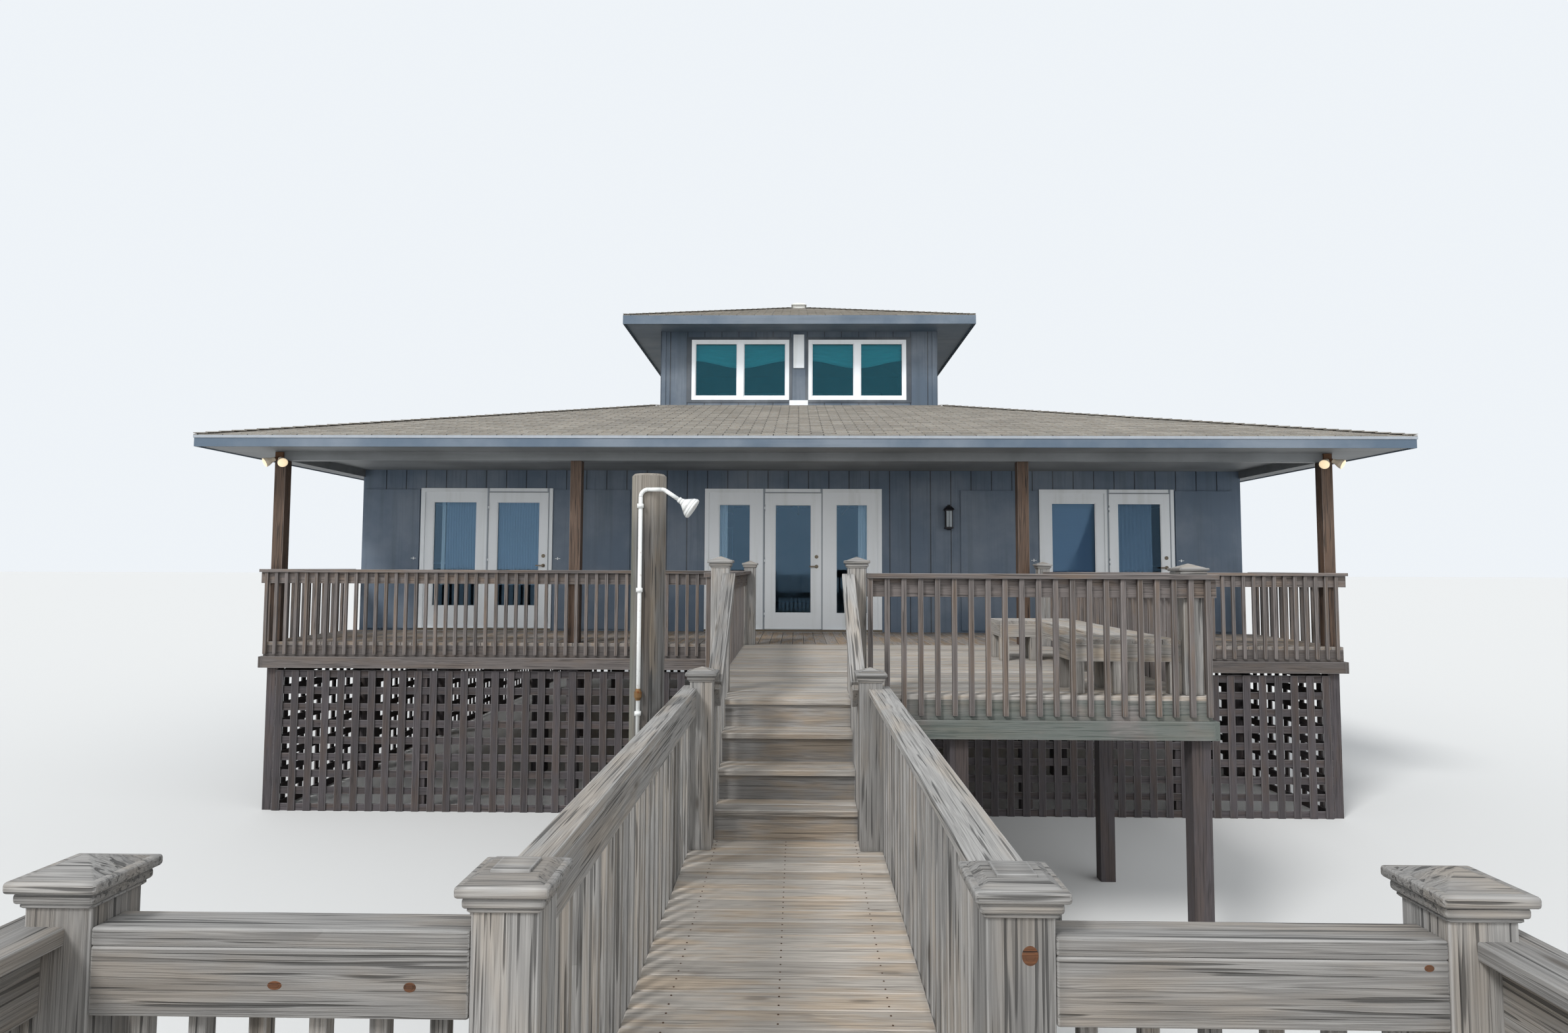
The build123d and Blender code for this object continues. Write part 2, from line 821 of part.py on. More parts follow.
with BuildPart() as floodlights:
    lamp_level = deck_level + flood_level
    for side in (-1, 1):
        x = side * (beam_half - post_size / 2)
        slab(x - flood_plate / 2, x + flood_plate / 2, beam_front - shutter_thick, beam_front,
             lamp_level, lamp_level + flood_plate)
        for turn in (-1, 1):
            socket = (x, beam_front - shutter_thick + flood_socket_seat,
                      lamp_level + flood_socket_height)
            lamp_axis = Plane(origin=socket, x_dir=(0, 0, 1),
                              z_dir=(turn * flood_splay, -flood_splay, -flood_droop))
            with BuildSketch(lamp_axis) as arm:
                Circle(flood_arm_radius)
            extrude(arm.sketch, amount=flood_arm_length)
            with BuildSketch(lamp_axis.offset(flood_arm_length)) as neck:
                RegularPolygon(flood_neck_radius, flood_sides)
            with BuildSketch(lamp_axis.offset(flood_arm_length + flood_length)) as lens:
                RegularPolygon(flood_lamp_radius, flood_sides)
            loft([neck.sketch, lens.sketch])

with BuildPart() as cupola_trim:
    plaque_middle = deck_level + plaque_level + plaque_height / 2
    with BuildSketch(front_plane(cupola_front)):
        with Locations((0, plaque_middle)):
            Rectangle(plaque_width, plaque_height)
    extrude(amount=plaque_thick)
    with BuildSketch(front_plane(cupola_front - plaque_thick)):
        with Locations((0, plaque_middle)):
            Rectangle(plaque_width - 2 * plaque_rim, plaque_height - 2 * plaque_rim)
    extrude(amount=-plaque_recess, mode=Mode.SUBTRACT)
    slab(-box_width / 2, box_width / 2, cupola_front - plaque_thick, cupola_front,
         deck_level + box_level, deck_level + box_level + box_height)


# Decks
def deck(x_low, x_high, y_low, y_high, level):
    """Deck surface on a rim and joists along X, in the part that is open."""
    count = math.floor((y_high - y_low) / joist_pitch)
    spread = (y_high - y_low) / (count + 1)
    slab(x_low, x_high, y_low, y_high, level - board_thick, level)
    with BuildSketch(level_plane(level - board_thick)) as frame:
        strip(x_low, x_high, y_low, y_high)
        strip(x_low + board_thick, x_high - board_thick, y_low + board_thick,
              y_high - board_thick, mode=Mode.SUBTRACT)
        with Locations(((x_low + x_high) / 2, (y_low + y_high) / 2)):
            with GridLocations(0, spread, 1, count):
                Rectangle(x_high - x_low, board_thick)
    extrude(frame.sketch, amount=-rim_depth)


def band(x_low, x_high, y_low, y_high, level):
    """Band board outside a rim, below the ends of the balusters."""
    slab(x_low, x_high, y_low, y_high, level - band_drop - band_height, level - band_drop)


with BuildPart() as porch_deck:
    deck(-porch_half, porch_half, porch_rim, house_front, deck_level)
    band(-porch_half, sun_left - baluster_size - seam, porch_rim - baluster_size, porch_rim,
         deck_level)
    band(sun_right + baluster_size + seam, porch_half, porch_rim - baluster_size, porch_rim,
         deck_level)
    band(-porch_half - baluster_size, -porch_half, porch_rim - baluster_size, house_front,
         deck_level)
    band(porch_half, porch_half + baluster_size, porch_rim - baluster_size, house_front,
         deck_level)

with BuildPart() as sun_deck:
    deck(sun_left, sun_right, sun_front, porch_rim, deck_level)
    band(walk_right, sun_right, sun_front - baluster_size, sun_front, deck_level)
    band(sun_left - baluster_size, sun_left, sun_front, porch_rim, deck_level)
    band(sun_right, sun_right + baluster_size, sun_front - baluster_size, porch_rim,
         deck_level)

walk_far = stair_foot + nosing + stringer_seat
with BuildPart() as walkway_deck:
    deck(walk_left, walk_right, walk_near, walk_far, walk_level)
    band(walk_left - baluster_size, walk_left, walk_near + baluster_size + seam, walk_far,
         walk_level)
    band(walk_right, walk_right + baluster_size, walk_near + baluster_size + seam, walk_far,
         walk_level)

with BuildPart() as platform_deck:
    deck(platform_left, platform_right, platform_near, walk_near, walk_level)
    band(platform_left - baluster_size, platform_right + baluster_size,
         platform_near - baluster_size, platform_near, walk_level)
    band(platform_left - baluster_size, platform_left, platform_near, walk_near, walk_level)
    band(platform_right, platform_right + baluster_size, platform_near, walk_near, walk_level)
    band(platform_left - baluster_size, walk_left, walk_near, walk_near + baluster_size,
         walk_level)
    band(walk_right, platform_right + baluster_size, walk_near, walk_near + baluster_size,
         walk_level)

# Piers below the decks
frame_drop = board_thick + rim_depth
half_post = post_size / 2
pier_row = porch_rim + board_thick + half_post
sun_pier_rows = (sun_front + board_thick + half_post, (sun_front + porch_rim) / 2)
high_piers = [
    (x, pier_row)
    for x in (-porch_post_outer, pier_inset - porch_post_outer, -porch_post_inner, 0,
              porch_post_inner, porch_post_outer - pier_inset, porch_post_outer)
] + [
    (x, y)
    for x in (sun_left + half_post, (sun_left + sun_right) / 2, sun_right - half_post)
    for y in sun_pier_rows
]
low_piers = [
    (walk_axis + side * rail_post, y)
    for side in (-1, 1)
    for y in (walk_near + half_post, (walk_near + post_back) / 2, post_back - half_post)
] + [
    (walk_axis + side * (platform_half - half_post), y)
    for side in (-1, 1)
    for y in (platform_near + half_post, (platform_near + walk_near) / 2,
              walk_near - half_post)
]
with BuildPart() as deck_piers:
    column(high_piers, post_size, 0, deck_level - frame_drop)
    column(low_piers, post_size, 0, walk_level - frame_drop)

# Posts of the porch roof and of the railings
porch_post_points = [
    (x, pier_row)
    for x in (-porch_post_outer, -porch_post_inner, porch_post_inner, porch_post_outer)
]
stair_post_row = sun_front + board_thick + half_post
rear_post_row = porch_rim - half_post
flat_post_points = [(walk_axis + side * rail_post, walk_near - half_post) for side in (-1, 1)]
walk_post_points = [
    (walk_axis + side * rail_post, post_back - half_post) for side in (-1, 1)
] + [
    (walk_axis + side * (platform_half - half_post), y)
    for side in (-1, 1)
    for y in (platform_near + half_post, walk_near - half_post)
]
deck_post_points = [
    (walk_axis - rail_post, stair_post_row),
    (walk_axis + rail_post, stair_post_row),
    (sun_left + half_post, rear_post_row),
    (sun_right - half_post, rear_post_row),
]
corner_post = (sun_right - board_thick - half_post, sun_front + board_thick + half_post)


def capped_post(point, foot, top, collar=post_collar_size, plate=post_plate_size,
                crown=post_peak_size, rise=post_peak_height):
    """Square post whose cap is a collar, a plate and a slope up to the crown, in the part
    that is open. A small crown makes a pyramid."""
    column([point], post_size, foot, top)
    column([point], collar, top - post_plate_height - post_collar_height,
           top - post_plate_height)
    column([point], plate, top - post_plate_height, top)
    with BuildSketch(level_plane(top)) as slope_foot:
        with Locations(point):
            Rectangle(plate, plate)
    with BuildSketch(level_plane(top + rise)) as slope_head:
        with Locations(point):
            Rectangle(crown, crown)
    loft([slope_foot.sketch, slope_head.sketch])


cap_height = post_plate_height + post_collar_height
post_rise = post_top_over_rail + cap_height
with BuildPart() as porch_posts:
    column(porch_post_points, post_size, deck_level, beam_bottom)

with BuildPart() as rail_posts:
    walk_post_top = walk_level + walk_rail_height + post_rise
    for point in flat_post_points:
        capped_post(point, walk_level, walk_post_top, crown=post_crown_size,
                    rise=post_crown_height)
        column([point], post_crown_square, walk_post_top,
               walk_post_top + post_crown_height + post_crown_raise)
    for point in walk_post_points:
        capped_post(point, walk_level, walk_post_top)
    for point in deck_post_points:
        capped_post(point, deck_level, deck_level + rail_height + post_rise)
    capped_post(corner_post, deck_level, deck_level + rail_height + cap_height,
                collar=corner_collar_size, plate=corner_plate_size, rise=corner_peak_height)


# Railings
def rail(start, along, length, level, height, first=0, last=0, drop=baluster_drop,
         inside=cap_inside, edge=edge_board_height):
    """Straight railing, in the part that is open: balusters outside the line, a board on
    edge behind them and a flat cap board that reaches inside it. The line is mostly the outer
    face of the rim, and the balusters keep clear of the first and last stretch."""
    base = Plane(origin=(start[0], start[1], level), x_dir=along, z_dir=(0, 0, 1))
    under_cap = height - board_thick
    stretch = length - first - last
    count = math.floor((stretch - baluster_size) / baluster_pitch) + 1
    with BuildSketch(base.offset(-drop)) as balusters:
        with Locations((first + stretch / 2, -baluster_size / 2)):
            with GridLocations(baluster_pitch, 0, count, 1):
                Rectangle(baluster_size, baluster_size)
    extrude(balusters.sketch, amount=drop + under_cap)
    if edge:
        with BuildSketch(base.offset(under_cap - edge)) as edge_board:
            strip(0, length, 0, board_thick)
        extrude(edge_board.sketch, amount=edge)
    with BuildSketch(base.offset(under_cap)) as cap_board:
        strip(0, length, -rail_reach, inside)
    extrude(cap_board.sketch, amount=board_thick)


# Railings that meet at a corner: the ones across run over it and the ones along stop there
side_start = cap_inside + seam
with BuildPart() as porch_rails:
    left_end = sun_left - rail_reach - seam
    rail((-porch_half - rail_reach, porch_rim), (1, 0, 0), left_end + porch_half + rail_reach,
         deck_level, rail_height, first=rail_reach)
    right_start = sun_right + rail_reach + seam
    rail((right_start, porch_rim), (1, 0, 0), porch_half + rail_reach - right_start,
         deck_level, rail_height, last=rail_reach)
    side_length = deck_reach - side_start
    rail((-porch_half, house_front), (0, -1, 0), side_length, deck_level, rail_height)
    rail((porch_half, porch_rim + side_start), (0, 1, 0), side_length, deck_level,
         rail_height)
    column(porch_post_points, post_size, deck_level, beam_bottom, mode=Mode.SUBTRACT)

with BuildPart() as sun_deck_rails:
    rail((walk_right, sun_front), (1, 0, 0), sun_right + rail_reach - walk_right, deck_level,
         rail_height, last=rail_reach)
    rail_end = porch_rim + cap_inside
    corner_reach = cap_inside + rail_reach
    rail((sun_right, sun_front + side_start), (0, 1, 0), rail_end - sun_front - side_start,
         deck_level, rail_height, last=corner_reach)
    left_start = sun_front + board_thick
    rail((sun_left, rail_end), (0, -1, 0), rail_end - left_start, deck_level, rail_height,
         first=corner_reach)
    column(deck_post_points + [corner_post], post_size, deck_level,
           deck_level + 2 * rail_height, mode=Mode.SUBTRACT)

# The left one has a narrow cap over its board on edge, the right one a wide cap and no board
with BuildPart() as walkway_rails:
    run = post_back - walk_near
    rail((walk_left, post_back), (0, -1, 0), run, walk_level, walk_rail_height,
         inside=board_thick)
    rail((walk_right, walk_near), (0, 1, 0), run, walk_level, walk_rail_height, edge=0)
    column(walk_post_points, post_size, walk_level, walk_level + 2 * walk_rail_height,
           mode=Mode.SUBTRACT)

with BuildPart() as platform_rails:
    across = platform_width + 2 * rail_reach
    rail((platform_left - rail_reach, platform_near), (1, 0, 0), across, walk_level,
         walk_rail_height, first=rail_reach, last=rail_reach)
    side_length = platform_depth - side_start
    rail((platform_left, walk_near), (0, -1, 0), side_length, walk_level, walk_rail_height)
    rail((platform_right, platform_near + side_start), (0, 1, 0), side_length, walk_level,
         walk_rail_height)
    back_line = walk_near - post_size + board_thick
    back_length = platform_half - post_size - walk_half
    for start in (platform_right - post_size, walk_left):
        rail((start, back_line), (-1, 0, 0), back_length, walk_level, walk_rail_height, drop=0,
             inside=board_thick)
    column(walk_post_points, post_size, walk_level, walk_level + 2 * walk_rail_height,
           mode=Mode.SUBTRACT)

# Stair from the walkway up to the sun deck. A step is a tread and the riser below it
half_clear = walk_clear / 2
riser_fronts = [stair_foot + nosing + step * stair_run for step in range(riser_count)]
tread_bottoms = [
    walk_level + (step + 1) * riser_height - tread_thick for step in range(riser_count)
]
with BuildPart() as stair_steps:
    for step, front in enumerate(riser_fronts):
        under = tread_bottoms[step]
        last_step = step == riser_count - 1
        back = sun_front if last_step else riser_fronts[step + 1] - seam
        foot = walk_level if step == 0 else tread_bottoms[step - 1]
        slab(walk_axis - half_clear, walk_axis + half_clear, front - nosing, back, under,
             under + tread_thick)
        slab(walk_axis - half_clear, walk_axis + half_clear, front, front + riser_thick, foot,
             under)

with BuildPart() as stair_stringers:
    for side in (-1, 1):
        outer = walk_axis + side * half_clear
        low = min(outer, outer - side * board_thick)
        with BuildSketch(side_plane(low)):
            with BuildLine():
                outline = [(riser_fronts[0] + riser_thick, walk_level)]
                for step, front in enumerate(riser_fronts):
                    last_step = step == riser_count - 1
                    back = sun_front if last_step else riser_fronts[step + 1] + riser_thick
                    outline.append((front + riser_thick, tread_bottoms[step]))
                    outline.append((back, tread_bottoms[step]))
                outline.append((sun_front, deck_level - frame_drop))
                outline.append((walk_far, walk_level))
                Polyline(*outline, close=True)
            make_face()
        extrude(amount=board_thick)

with BuildPart() as stair_rails:
    rail_foot = post_back
    rail_head = stair_post_row - half_post
    foot_height = walk_level + walk_rail_height + post_top_over_rail - stair_cap_drop
    head_height = deck_level + rail_height
    slope = (head_height - foot_height) / (rail_head - rail_foot)
    stair_slope = riser_height / stair_run
    count = math.floor((sun_front - stair_foot) / baluster_pitch)
    spare = sun_front - stair_foot - (count - 1) * baluster_pitch
    for side in (-1, 1):
        inner = walk_axis + side * half_clear
        low, high = sorted((inner, inner + side * baluster_size))
        for index in range(count):
            y = stair_foot + spare / 2 + index * baluster_pitch
            nose = walk_level + stair_slope * (y - stair_foot)
            top = foot_height + slope * (y - rail_foot) - board_thick / 2
            slab(low, high, y - baluster_size / 2, y + baluster_size / 2,
                 max(walk_level, nose - baluster_drop), top)
        for width, middle, drop, depth in (
            (stair_cap_width, inner, 0, board_thick),
            (board_thick, inner - side * board_thick / 2, board_thick, edge_board_height),
        ):
            with BuildSketch(side_plane(middle - width / 2)):
                with BuildLine():
                    Polyline(
                        (rail_foot, foot_height - drop - depth),
                        (rail_foot, foot_height - drop),
                        (rail_head, head_height - drop),
                        (rail_head, head_height - drop - depth),
                        close=True,
                    )
                make_face()
            extrude(amount=width)


# Lattice skirt below the porch and the house
def lattice(start, along, length):
    """Upright slats in front of level slats, in the part that is open."""
    base = Plane(origin=(start[0], start[1], 0), x_dir=along, z_dir=(0, 0, 1))
    count = math.floor((length - slat_width) / slat_pitch) + 1
    skirt_top = pile_top - board_thick
    with BuildSketch(base) as upright:
        with Locations((length / 2, (slat_thick - seam) / 2)):
            with GridLocations(slat_pitch, 0, count, 1):
                Rectangle(slat_width, slat_thick - seam)
    extrude(upright.sketch, amount=skirt_top)
    spread = (skirt_top - slat_width) / (slat_rows - 1)
    for row in range(slat_rows):
        with BuildSketch(base.offset(row * spread)) as level_slat:
            strip(0, length, slat_thick, 2 * slat_thick)
        extrude(level_slat.sketch, amount=slat_width)


skirt_depth = 2 * slat_thick + seam
with BuildPart() as front_lattice:
    lattice((-house_half, porch_rim), (1, 0, 0), house_width)

skirt_start = pier_row + half_post
skirt_run = house_back - skirt_start
with BuildPart() as left_lattice:
    lattice((-house_half, house_back), (0, -1, 0), skirt_run)

with BuildPart() as right_lattice:
    lattice((house_half, skirt_start), (0, 1, 0), skirt_run)

with BuildPart() as back_lattice:
    lattice((house_half - skirt_depth, house_back), (-1, 0, 0), house_width - 2 * skirt_depth)

# Bench along the right-hand rail of the sun deck, with two returns
with BuildPart() as bench:
    seat_level = deck_level + bench_height - bench_seat_thick
    bench_right = sun_right - bench_wall_gap
    bench_left = bench_right - bench_depth
    bench_front = sun_front + bench_front_gap
    bench_back = bench_front + bench_length
    seats = (
        (bench_left, bench_right, bench_front, bench_back),
        (bench_left - bench_return, bench_left - seam, bench_front,
         bench_front + bench_return_depth),
        (bench_left - bench_return, bench_left - seam, bench_back - bench_return_depth,
         bench_back),
    )
    for x_low, x_high, y_low, y_high in seats:
        slab(x_low, x_high, y_low, y_high, seat_level, seat_level + bench_seat_thick)
        with BuildSketch(level_plane(seat_level)):
            strip(x_low, x_high, y_low, y_high)
            strip(x_low + board_thick, x_high - board_thick, y_low + board_thick,
                  y_high - board_thick, mode=Mode.SUBTRACT)
        extrude(amount=-bench_apron)
        legs = [
            (x, y)
            for x in (x_low + bench_leg / 2, x_high - bench_leg / 2)
            for y in (y_low + bench_leg / 2, y_high - bench_leg / 2)
        ]
        column(legs, bench_leg, deck_level, seat_level)

# Outdoor shower: a round pile beside the walkway with its water pipe
shower_x = walk_left - rail_reach - shower_gap - shower_radius
shower_y = walk_far - shower_from_end
with BuildPart() as shower_post:
    with BuildSketch(level_plane(0)):
        with Locations((shower_x, shower_y)):
            Circle(shower_radius)
    extrude(amount=walk_level + shower_height)
    chamfer(shower_post.faces().sort_by(Axis.Z)[-1].edges(), length=shower_chamfer)

pipe_x = shower_x - pipe_side
pipe_y = shower_y - shower_radius - pipe_radius - shower_gap
pipe_level = walk_level + pipe_top
head_point = (pipe_x + arm_length + arm_reach, pipe_y, pipe_level - arm_drop)
with BuildPart() as shower_pipe:
    with BuildLine():
        FilletPolyline(
            (pipe_x, pipe_y, walk_level + pipe_foot),
            (pipe_x, pipe_y, pipe_level),
            (pipe_x + arm_length, pipe_y, pipe_level),
            head_point,
            radius=bend_radius,
        )
    with BuildSketch(level_plane(walk_level + pipe_foot)):
        with Locations((pipe_x, pipe_y)):
            RegularPolygon(pipe_radius, pipe_sides)
    sweep()
    head_plane = Plane(origin=head_point, x_dir=(0, 1, 0), z_dir=(arm_reach, 0, -arm_drop))
    with BuildSketch(head_plane.offset(-pipe_radius)):
        RegularPolygon(head_neck, head_sides)
    with BuildSketch(head_plane.offset(head_length)):
        RegularPolygon(head_radius, head_sides)
    loft()
    with BuildSketch(level_plane(walk_level + valve_level)):
        with Locations((pipe_x, pipe_y - valve_radius + pipe_radius)):
            RegularPolygon(valve_radius, pipe_sides)
    extrude(amount=valve_height)

pieces = {
    "foundation_piles": foundation_piles,
    "house_floor": house_floor,
    "left_wall": left_wall,
    "right_wall": right_wall,
    "back_wall": back_wall,
    "front_wall": front_wall,
    "front_wall_head": front_wall_head,
    "upper_floor": upper_floor,
    "main_roof": main_roof,
    "eave_fascia": eave_fascia,
    "soffit": soffit,
    "porch_beams": porch_beams,
    "porch_posts": porch_posts,
    "cupola_walls": cupola_walls,
    "cupola_roof": cupola_roof,
    "cupola_eaves": cupola_eaves,
    "roof_cap": roof_cap,
    "window_frames": window_frames,
    "window_glass": window_glass,
    "middle_door_frame": middle_door_frame,
    "left_door_frame": left_door_frame,
    "right_door_frame": right_door_frame,
    "side_panel_glass": side_panel_glass,
    "middle_door_leaf": middle_door_leaf,
    "middle_door_glass": middle_door_glass,
    "middle_door_handle": middle_door_handle,
    "left_door_leaf": left_door_leaf,
    "left_door_glass": left_door_glass,
    "left_door_handle": left_door_handle,
    "right_door_leaf": right_door_leaf,
    "right_door_glass": right_door_glass,
    "right_door_handle": right_door_handle,
    "storm_shutters": storm_shutters,
    "wall_lanterns": wall_lanterns,
    "floodlights": floodlights,
    "cupola_trim": cupola_trim,
    "porch_deck": porch_deck,
    "sun_deck": sun_deck,
    "walkway_deck": walkway_deck,
    "platform_deck": platform_deck,
    "deck_piers": deck_piers,
    "rail_posts": rail_posts,
    "porch_rails": porch_rails,
    "sun_deck_rails": sun_deck_rails,
    "walkway_rails": walkway_rails,
    "platform_rails": platform_rails,
    "stair_steps": stair_steps,
    "stair_stringers": stair_stringers,
    "stair_rails": stair_rails,
    "front_lattice": front_lattice,
    "left_lattice": left_lattice,
    "right_lattice": right_lattice,
    "back_lattice": back_lattice,
    "bench": bench,
    "shower_post": shower_post,
    "shower_pipe": shower_pipe,
}
for label, piece in pieces.items():
    piece.part.label = label
    export_step(piece.part, f"parts/{label}.step")
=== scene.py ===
"""Raised timber beach house with a glazed cupola, porch, sun deck, stair and railed walkway."""

import math
import random

import bmesh
import bpy
from bpy.props import FloatProperty, FloatVectorProperty, IntProperty, PointerProperty
from bpy.types import Operator, Panel, PropertyGroup
from mathutils import Matrix, Vector


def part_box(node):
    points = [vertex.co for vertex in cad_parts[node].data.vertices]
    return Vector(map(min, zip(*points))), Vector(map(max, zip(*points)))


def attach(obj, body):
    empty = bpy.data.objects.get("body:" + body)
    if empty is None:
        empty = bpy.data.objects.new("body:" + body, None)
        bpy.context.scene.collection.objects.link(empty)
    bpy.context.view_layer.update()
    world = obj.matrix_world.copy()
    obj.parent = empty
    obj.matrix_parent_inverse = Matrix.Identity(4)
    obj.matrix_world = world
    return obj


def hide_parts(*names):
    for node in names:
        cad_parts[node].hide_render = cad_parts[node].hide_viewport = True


bl_info = {
    "name": "Raised Beach House",
    "version": (1, 0, 0),
    "blender": (4, 5, 0),
    "location": "3D View > Sidebar > Beach House",
    "description": "Builds the boards, siding, roofing and fittings of a raised beach house",
    "category": "Object",
}

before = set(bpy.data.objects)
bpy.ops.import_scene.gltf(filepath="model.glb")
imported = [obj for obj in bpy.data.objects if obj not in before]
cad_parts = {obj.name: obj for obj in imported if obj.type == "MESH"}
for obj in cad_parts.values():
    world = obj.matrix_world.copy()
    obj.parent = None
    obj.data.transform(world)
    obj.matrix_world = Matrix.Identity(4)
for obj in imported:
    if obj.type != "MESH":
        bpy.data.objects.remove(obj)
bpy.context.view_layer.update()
WALL_NODES = ("left_wall", "right_wall", "back_wall", "front_wall", "front_wall_head",
              "cupola_walls")
UNITS = ("middle", "left", "right")


def low(node):
    """Lowest corner of a node of the frame."""
    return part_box(node)[0]


def high(node):
    """Highest corner of a node of the frame."""
    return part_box(node)[1]


# Timber sizes and lines of the frame that many pieces share
BOARD = 0.038
POST = 0.14
RIM_DEPTH = 0.285
RAIL_REACH = 0.055
SEAM = 0.0004
DECK = high("porch_deck").z
WALK = high("walkway_deck").z
WALL = low("house_floor").y
BACK = high("back_wall").y
HOUSE_HALF = high("right_wall").x
PORCH_RIM = low("porch_deck").y + BOARD
PORCH_HALF = high("porch_deck").x - BOARD
SUN_FRONT = low("sun_deck").y + BOARD
SUN_LEFT = low("sun_deck").x + BOARD
SUN_RIGHT = high("sun_deck").x - BOARD
WALK_FAR = high("walkway_deck").y
WALK_NEAR = high("platform_deck").y - BOARD
WALK_LEFT = low("walkway_deck").x + BOARD
WALK_RIGHT = high("walkway_deck").x - BOARD
WALK_AXIS = (WALK_LEFT + WALK_RIGHT) / 2
PLATFORM_NEAR = low("platform_deck").y + BOARD
PLATFORM_LEFT = low("platform_deck").x + BOARD
PLATFORM_RIGHT = high("platform_deck").x - BOARD
POST_BACK = low("stair_rails").y
STAIR_FOOT = low("stair_steps").y
HALF_CLEAR = (high("stair_steps").x - low("stair_steps").x) / 2
PIER_ROW = PORCH_RIM + BOARD + POST / 2
ROOF_MIDDLE = (low("main_roof").y + high("main_roof").y) / 2
EAVE = high("eave_fascia").z
ROOF_HALF = high("eave_fascia").x
CUPOLA_HALF = high("cupola_walls").x
CUPOLA_EAVE = high("cupola_eaves").z
CUPOLA_EAVE_HALF = high("cupola_eaves").x
ROOF_PITCH = (high("main_roof").z - EAVE) / (ROOF_HALF - CUPOLA_HALF)
CAP_HALF = 0.12
CUPOLA_PITCH = (high("cupola_roof").z - CUPOLA_EAVE) / (CUPOLA_EAVE_HALF - CAP_HALF)

# Width of the flat and upright rail boards, and how far posts reach over the rails
RAIL_BOARD = 0.14
POST_TOP = 0.098
LOW_POST_TOP = 0.049

# Stair between the walkway and the sun deck
RISERS = 4
GOING = 0.25
NOSE = 0.025

CLOTH = 0.0012
QUARTER = math.pi / 2


def tint(red, green, blue):
    """Colour of a paint chip, given in steps of 255, as the shader wants it."""
    return tuple((step / 255) ** 2.2 for step in (red, green, blue))


def length(name, description, default, least, most):
    """Size that a user can change in the panel."""
    return FloatProperty(name=name, description=description, default=default, min=least,
                         max=most, unit="LENGTH")


def hue(name, description, *steps):
    """Colour that a user can change in the panel, given in steps of 255."""
    return FloatVectorProperty(name=name, description=description, default=tint(*steps),
                               subtype="COLOR", min=0, max=1)


class HouseSizes(PropertyGroup):
    """Sizes of the boards and fittings that the frame leaves open."""

    board_pitch: length("Deck board pitch", "From one deck board to the next",
                        0.146, 0.08, 0.3)
    board_gap: length("Deck board gap", "Gap between two deck boards", 0.007, 0.0, 0.02)
    baluster_pitch: length("Baluster pitch", "From one baluster to the next",
                           0.127, 0.06, 0.3)
    baluster_drop: length("Baluster drop", "How far the balusters reach below the deck",
                          0.155, 0.0, 0.3)
    rail_height: length("House rail height", "Top of the rails on the house decks",
                        0.914, 0.6, 1.2)
    walk_rail_height: length("Walkway rail height", "Top of the rails on the walkway",
                             0.985, 0.6, 1.2)
    groove_pitch: length("Siding groove shade pitch", "From one groove of the siding to the next",
                         0.305, 0.1, 0.6)
    groove_width: length("Siding groove shade width", "Width of a groove of the siding",
                         0.016, 0.004, 0.03)
    shingle_exposure: length("Shingle exposure", "Part of each shingle course that shows",
                             0.14, 0.08, 0.3)
    shingle_width: length("Shingle tab width", "Width of one tab of the shingles",
                          0.305, 0.1, 0.6)
    slat_pitch: length("Lattice pitch", "From one slat of the lattice skirt to the next",
                       0.195, 0.1, 0.4)
    slat_rows: IntProperty(name="Lattice rows", description="Level slats of the lattice skirt",
                           default=9, min=2, max=20)


class HouseColours(PropertyGroup):
    """Colours of the paints and timbers."""

    # Siding, cupola siding and fascia are set darker than their paint, partway towards their look
    # in shade: partly painted shade.
    siding: hue("Siding", "Paint of the house walls", 86, 102, 120)
    cupola_siding: hue("Cupola siding", "Paint of the cupola walls", 72, 86, 101)
    fascia: hue("Fascia", "Paint of the boards along the eaves", 78, 94, 110)
    soffit: hue("Soffit", "Paint of the porch ceiling, beams and soffit", 112, 115, 117)
    white: hue("White trim", "Paint of the windows and doors", 236, 240, 243)
    shingle: hue("Shingles", "Main colour of the roof shingles", 142, 137, 127)
    weathered: hue("Weathered timber", "Pale grey of the rails and posts", 160, 158, 155)
    walkway: hue("Walkway boards", "Bleached tan of the walkway boards", 198, 190, 180)
    house_rail: hue("House rails", "Darker grey brown of the rails round the porch",
                    114, 107, 104)
    brown_post: hue("Porch posts", "Stained brown of the porch posts", 104, 84, 70)
    lattice: hue("Lattice", "Dark timber of the lattice skirt", 76, 71, 73)


def sizes():
    return bpy.context.scene.beach_house_sizes


def colours():
    return bpy.context.scene.beach_house_colours


class Signal:
    """One output socket of a finish. Sums on it add the nodes that they stand for."""

    def __init__(self, finish, socket):
        self.finish = finish
        self.socket = socket

    def sum_of(self, operation, first, second):
        settings = {"operation": operation}
        return self.finish.node("ShaderNodeMath", settings, {0: first, 1: second})

    def __add__(self, other):
        return self.sum_of("ADD", self, other)

    __radd__ = __add__

    def __sub__(self, other):
        return self.sum_of("SUBTRACT", self, other)

    def __rsub__(self, other):
        return self.sum_of("SUBTRACT", other, self)

    def __mul__(self, other):
        return self.sum_of("MULTIPLY", self, other)

    __rmul__ = __mul__

    def __abs__(self):
        return self.sum_of("ABSOLUTE", self, 0.0)

    def least(self, other):
        return self.sum_of("MINIMUM", self, other)

    def most(self, other):
        return self.sum_of("MAXIMUM", self, other)

    def above(self, start, end):
        """0 below start and 1 past end, smooth between them."""
        settings = {"interpolation_type": "SMOOTHSTEP", "clamp": True}
        places = {"Value": self, "From Min": start, "From Max": end}
        return self.finish.node("ShaderNodeMapRange", settings, places)


